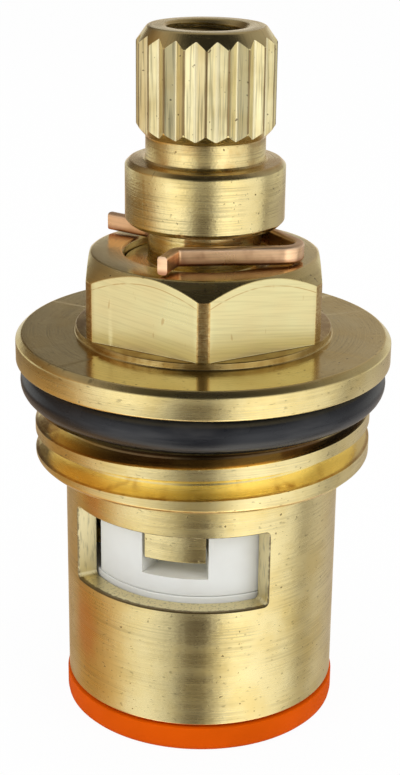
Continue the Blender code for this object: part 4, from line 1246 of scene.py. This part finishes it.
def make_ring(name, node, body, centre_radius, low, high, finish):
    """A rubber ring of round section."""
    half = (high - low) / 2
    turns = [2 * math.pi * i / RING_SIDES for i in range(RING_SIDES)]
    ring = lathed(name, RING_STEPS, [
        (centre_radius + half * math.cos(turn), (low + high) / 2 - half * math.sin(turn), 0.0)
        for turn in turns])
    return dress(ring, body, "black_rubber", finish, sharp_angle=60.0, nodes=[node])


def make_washer(finish):
    washer = lathed("thrust_washer_ring", RING_STEPS, [
        (BORE_RADIUS, WASHER_TOP, 0.05 * MM), (STOP_NOTCH_RADIUS, WASHER_TOP, 0.08 * MM),
        (STOP_NOTCH_RADIUS, WASHER_BOTTOM, 0.08 * MM), (BORE_RADIUS, WASHER_BOTTOM, 0.05 * MM)])
    return dress(washer, "housing", "acetal", finish, nodes=["thrust_washer"])


def make_seal(finish):
    """The seat seal: a flat lip with a rounded lower edge, and a sleeve inside the skirt."""
    lip_top = SKIRT_END - FACE_GAP
    lip_radius = SKIRT_RADIUS + SEAL_LIP_OVERHANG
    sleeve_radius = CHAMBER_RADIUS - RING_GAP
    seal = lathed("bottom_seal_lip", BODY_STEPS, [
        (SEAL_BORE_RADIUS, SEAL_TOP, 0.12 * MM), (sleeve_radius, SEAL_TOP, 0.20 * MM),
        (sleeve_radius, lip_top, 0.06 * MM), (lip_radius, lip_top, 0.08 * MM),
        (lip_radius, SEAL_BOTTOM, 0.42 * MM), (SEAL_BORE_RADIUS, SEAL_BOTTOM, 0.20 * MM)])
    return dress(seal, "housing", "orange_silicone", finish, sharp_angle=35.0,
                 nodes=["bottom_seal"])


def disc_blank(name, bottom, top):
    return lathed(name, BODY_STEPS, [
        (0.0, top, 0.0), (DISC_RADIUS - DISC_CHAMFER, top, DISC_ROUND),
        (DISC_RADIUS, top - DISC_CHAMFER, DISC_ROUND),
        (DISC_RADIUS, bottom + DISC_CHAMFER, DISC_ROUND),
        (DISC_RADIUS - DISC_CHAMFER, bottom, DISC_ROUND), (0.0, bottom, 0.0)], closed=False)


def soften_edges(item, width):
    """Breaks an object's sharp edges, as tumbling does to a ceramic."""
    step = item.modifiers.new("Broken edges", "BEVEL")
    step.width = width
    step.segments = 2
    step.limit_method = "ANGLE"
    step.angle_limit = math.radians(50)
    step.use_clamp_overlap = True
    plain_mesh(item)


def make_moving_disc(finish):
    disc = disc_blank("moving_disc_ceramic", MOVING_BOTTOM - MOVING_DISC_DROP, MOVING_TOP)
    outside = DISC_RADIUS + CUT_OVERSHOOT
    tools = []
    for side in (0, 180):
        tools.append(sector_block("passage", DISC_HUB_RADIUS, outside, LUG_AZIMUTH + 90 + side,
                                  PASSAGE_SPAN, MOVING_BOTTOM - CUT_OVERSHOOT,
                                  MOVING_TOP + CUT_OVERSHOOT))
        tools.append(sector_block("lug_slot", LUG_SLOT_RADIUS, outside, LUG_AZIMUTH + side,
                                  LUG_SLOT_SPAN, LUG_SLOT_FLOOR, MOVING_TOP + CUT_OVERSHOOT))
    cut(disc, *tools)
    soften_edges(disc, DISC_CHAMFER)
    return dress(disc, "spindle", "ceramic", finish, sharp_angle=35.0, nodes=["moving_disc"])


def make_fixed_disc(finish):
    disc = disc_blank("fixed_disc_ceramic", FIXED_BOTTOM, FIXED_TOP)
    low = FIXED_BOTTOM - CUT_OVERSHOOT
    high = FIXED_TOP + CUT_OVERSHOOT
    tools = []
    for side in (0, 180):
        tools.append(sector_block("port", PORT_INNER_RADIUS, PORT_OUTER_RADIUS,
                                  WINDOW_AZIMUTH + side, PORT_SPAN, low, high))
        tools.append(sector_block("key_notch", KEY_RADIUS - KEY_NOTCH_DEPTH_GAP,
                                  DISC_RADIUS + CUT_OVERSHOOT, KEY_AZIMUTH + side,
                                  KEY_SPAN + KEY_NOTCH_SPAN_GAP, low, high))
    cut(disc, *tools)
    return dress(disc, "housing", "ceramic", finish, sharp_angle=35.0, nodes=["fixed_disc"])


def ramp(tree, share, stops):
    """Colours along a 0 to 1 share, from a list of places and colours."""
    node = put(tree, "ShaderNodeValToRGB", None, {0: share})
    marks = node.color_ramp.elements
    while len(marks) < len(stops):
        marks.new(1.0)
    for mark, (place, colour) in zip(marks, stops):
        mark.position = place
        mark.color = (*colour, 1.0)
    return node.outputs[0]


def grey(level, warmth=0.0):
    return (level, level * (1 - 0.45 * warmth), level * (1 - 0.85 * warmth))


# What the brass mirrors: an azimuth, its level below, at and above the horizon, and its warmth
STUDIO_ROUND = (
    (-180, 0.95, 0.95, 0.24, 0.2), (-168, 0.90, 0.90, 0.10, 0.5), (-160, 0.50, 0.30, 0.10, 0.6),
    (-140, 0.50, 0.20, 0.15, 0.5), (-122, 0.50, 0.20, 0.20, 0.9), (-103, 0.50, 0.22, 0.30, 0.9),
    (-90, 0.60, 0.38, 0.45, 0.8), (-79, 0.80, 0.55, 0.70, 0.5), (-68, 0.90, 1.05, 0.80, 0.1),
    (-57, 0.97, 1.25, 0.80, 0.0), (-45, 0.97, 1.50, 0.80, 0.0), (-36, 0.78, 1.48, 0.75, 0.0),
    (-29, 0.68, 1.30, 0.70, 0.0), (-21, 0.46, 0.80, 0.22, 0.0), (-13, 0.15, 0.21, 0.06, 0.3),
    (-5, 0.10, 0.12, 0.03, 0.4), (5, 0.10, 0.11, 0.03, 0.4), (10, 0.22, 0.25, 0.06, 0.3),
    (15, 0.75, 0.80, 0.30, 0.0), (21, 1.20, 1.30, 0.60, 0.0), (32, 1.45, 1.60, 0.90, 0.0),
    (42, 1.28, 1.42, 0.85, 0.0), (55, 1.18, 1.20, 0.85, 0.0), (70, 1.10, 1.06, 0.85, 0.0),
    (82, 0.92, 1.00, 0.80, 0.0), (88, 0.70, 0.85, 0.55, 0.0), (95, 0.30, 0.26, 0.35, 0.2),
    (105, 0.55, 0.50, 0.35, 0.1), (118, 0.68, 0.50, 0.35, 0.1), (158, 0.50, 0.42, 0.46, 0.3),
    (168, 0.90, 0.90, 0.48, 0.3), (180, 0.95, 0.95, 0.24, 0.2),
)


# Soft boxes: a name, a place, a size and a power
SOFTBOXES = (
    ("left_softbox", (-0.30, -0.22, 0.22), 0.26, 0.62),
    ("right_softbox", (0.30, -0.24, 0.24), 0.26, 0.72),
    ("top_softbox", (0.02, 0.10, 0.42), 0.30, 0.50),
)
SOFTBOX_AIM = Vector((0.0, 0.0, 0.02))
LEVEL_GLOW = (0.76, 0.75, 0.70)
FLOOR_DROP = 0.02 * MM
FLOOR_WHITE_SHARE = 0.96

# The photo's view, fitted to the cartridge's ellipses in it
CAMERA_YAW = -0.0017
CAMERA_PITCH = 0.3495
CAMERA_ROLL = 0.0114
CAMERA_PLACE = (0.0, -0.10013, 0.05738)
CAMERA_LENS = 78.98
CAMERA_SENSOR = 36.0


def light_the_studio():
    """White for the camera, a plain soft light on the object, and panels for metal to mirror."""
    world = bpy.data.worlds.new("studio")
    bpy.context.scene.world = world
    world.use_nodes = True
    tree = world.node_tree
    tree.nodes.clear()
    sky = Nodes(tree)
    x, y, z = sky.parts(tree.nodes.new("ShaderNodeTexCoord").outputs["Generated"])
    angle = sky.maths("ARCTAN2", x, sky.product(y, -1.0))
    share = sky.maths("ADD", sky.maths("DIVIDE", angle, 2 * math.pi), 0.5)
    below, level, above = (
        ramp(tree, share, [((row[0] + 180) / 360, grey(row[column], row[4]))
                           for row in STUDIO_ROUND])
        for column in (1, 2, 3))
    overhead = sky.blend(sky.spread(y, -0.17, 0.28), grey(0.010, 0.5), grey(0.32, 0.25))
    overhead = sky.blend(sky.spread(x, -0.42, -0.85), overhead, grey(0.40, 0.3))
    brighter = sky.mix("MULTIPLY", 1.0, below, (1.9, 1.8, 1.6))
    below = sky.blend(sky.spread(z, -0.60, -0.85), below, brighter)
    mirrored = sky.blend(sky.spread(z, -0.42, -0.28), below, level)
    mirrored = sky.blend(sky.spread(z, 0.04, 0.30), mirrored, above)

    # A band near the horizon glows, less in the middle of the front and at both sides.
    lowered = sky.maths("SUBTRACT", z, sky.product(sky.spread(y, 0.0, 0.3), 0.20))
    sideways = sky.maths("ABSOLUTE", x)
    middle = sky.product(sky.spread(sideways, 0.30, 0.14), sky.spread(y, 0.0, -0.20))
    dimmed = sky.maths("ADD", sky.product(middle, 0.40),
                       sky.product(sky.spread(sideways, 0.86, 0.96), 0.60))
    near_level = sky.product(sky.spread(z, -0.212, -0.186), sky.spread(lowered, 0.02, -0.04),
                             sky.maths("SUBTRACT", 1.0, dimmed))
    mirrored = sky.mix("LIGHTEN", near_level, mirrored, LEVEL_GLOW)
    mirrored = sky.blend(sky.spread(z, 0.45, 0.75), mirrored, overhead)

    rays = tree.nodes.new("ShaderNodeLightPath").outputs
    seen = sky.blend(rays["Is Camera Ray"], grey(0.62), grey(1.0))
    mirror_ray = sky.maths("MAXIMUM", rays["Is Glossy Ray"], rays["Is Transmission Ray"])
    light = put(tree, "ShaderNodeBackground", None,
                {"Color": sky.blend(mirror_ray, seen, mirrored), "Strength": 1.0})
    result = tree.nodes.new("ShaderNodeOutputWorld")
    tree.links.new(light.outputs[0], result.inputs[0])

    for name, place, size, power in SOFTBOXES:
        lamp = bpy.data.lights.new(name, "AREA")
        lamp.shape = "SQUARE"
        lamp.size = size
        lamp.energy = power
        item = new_object(name, lamp)
        item.location = place
        item.rotation_euler = (SOFTBOX_AIM - Vector(place)).to_track_quat("-Z", "Y").to_euler()
        item.visible_glossy = False
        item.visible_camera = False


def lay_the_floor():
    """A plain pale floor that shows white to the camera and keeps a faint shadow."""
    mesh = bpy.data.meshes.new("studio_floor")
    work = bmesh.new()
    bmesh.ops.create_circle(work, cap_ends=True, segments=64, radius=2.0)
    work.to_mesh(mesh)
    work.free()
    floor = new_object("studio_floor", mesh)
    floor.location.z = -FLOOR_DROP
    floor.visible_glossy = False

    material = bpy.data.materials.new("pale_floor")
    material.use_nodes = True
    tree = material.node_tree
    tree.nodes.clear()
    matt = put(tree, "ShaderNodeBsdfDiffuse", None, {"Color": (0.85, 0.85, 0.85, 1.0)})
    white = put(tree, "ShaderNodeEmission", None, {"Color": (1.0, 1.0, 1.0, 1.0)})
    rays = tree.nodes.new("ShaderNodeLightPath").outputs
    share = Nodes(tree).product(rays["Is Camera Ray"], FLOOR_WHITE_SHARE)
    mixed = put(tree, "ShaderNodeMixShader", None,
                {0: share, 1: matt.outputs[0], 2: white.outputs[0]})
    result = tree.nodes.new("ShaderNodeOutputMaterial")
    tree.links.new(mixed.outputs[0], result.inputs[0])
    mesh.materials.append(material)


def set_the_camera():
    """The photo's view: from a little above, in front, with a slight roll."""
    ahead = Vector((math.sin(CAMERA_YAW) * math.cos(CAMERA_PITCH),
                    math.cos(CAMERA_YAW) * math.cos(CAMERA_PITCH), -math.sin(CAMERA_PITCH)))
    level_right = Vector((math.cos(CAMERA_YAW), -math.sin(CAMERA_YAW), 0.0))
    level_up = level_right.cross(ahead)
    right = level_right * math.cos(CAMERA_ROLL) + level_up * math.sin(CAMERA_ROLL)
    up = level_up * math.cos(CAMERA_ROLL) - level_right * math.sin(CAMERA_ROLL)
    data = bpy.data.cameras.new("camera")
    data.lens = CAMERA_LENS
    data.sensor_width = CAMERA_SENSOR
    data.clip_start = 0.005
    data.clip_end = 10.0
    camera = new_object("camera", data)
    rows = [(right[i], up[i], -ahead[i], CAMERA_PLACE[i]) for i in range(3)]
    camera.matrix_world = Matrix(rows + [(0.0, 0.0, 0.0, 1.0)])
    bpy.context.scene.camera = camera


def main():
    bpy.context.scene.view_settings.view_transform = "Standard"
    set_the_camera()
    light_the_studio()
    lay_the_floor()

    rubber = black_rubber("black_rubber_moulded")
    ceramic = ground_ceramic("ceramic_ground")

    make_body(body_brass("body_brass_turned"), milled_brass("hexagon_milled"),
              sawn_brass("window_sawn"))
    make_stem(stem_brass("stem_brass_turned"), broached_brass("spline_broached"))
    make_clip(rolled_copper_alloy("phosphor_bronze_rolled"))
    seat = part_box("flange_o_ring")[1].x - (FLANGE_RING_TOP - FLANGE_RING_BOTTOM) / 2
    make_ring("flange_o_ring_rubber", "flange_o_ring", "housing", seat, FLANGE_RING_BOTTOM,
              FLANGE_RING_TOP, rubber)
    inner_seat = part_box("upper_stem_o_ring")[1].x - (UPPER_RING_TOP - UPPER_RING_BOTTOM) / 2
    make_ring("upper_stem_o_ring_rubber", "upper_stem_o_ring", "spindle", inner_seat,
              UPPER_RING_BOTTOM, UPPER_RING_TOP, rubber)
    make_ring("lower_stem_o_ring_rubber", "lower_stem_o_ring", "spindle", inner_seat,
              LOWER_RING_BOTTOM, LOWER_RING_TOP, rubber)
    make_washer(moulded_acetal("acetal_moulded"))
    make_moving_disc(ceramic)
    make_fixed_disc(ceramic)
    make_seal(moulded_silicone("orange_silicone_moulded"))


main()
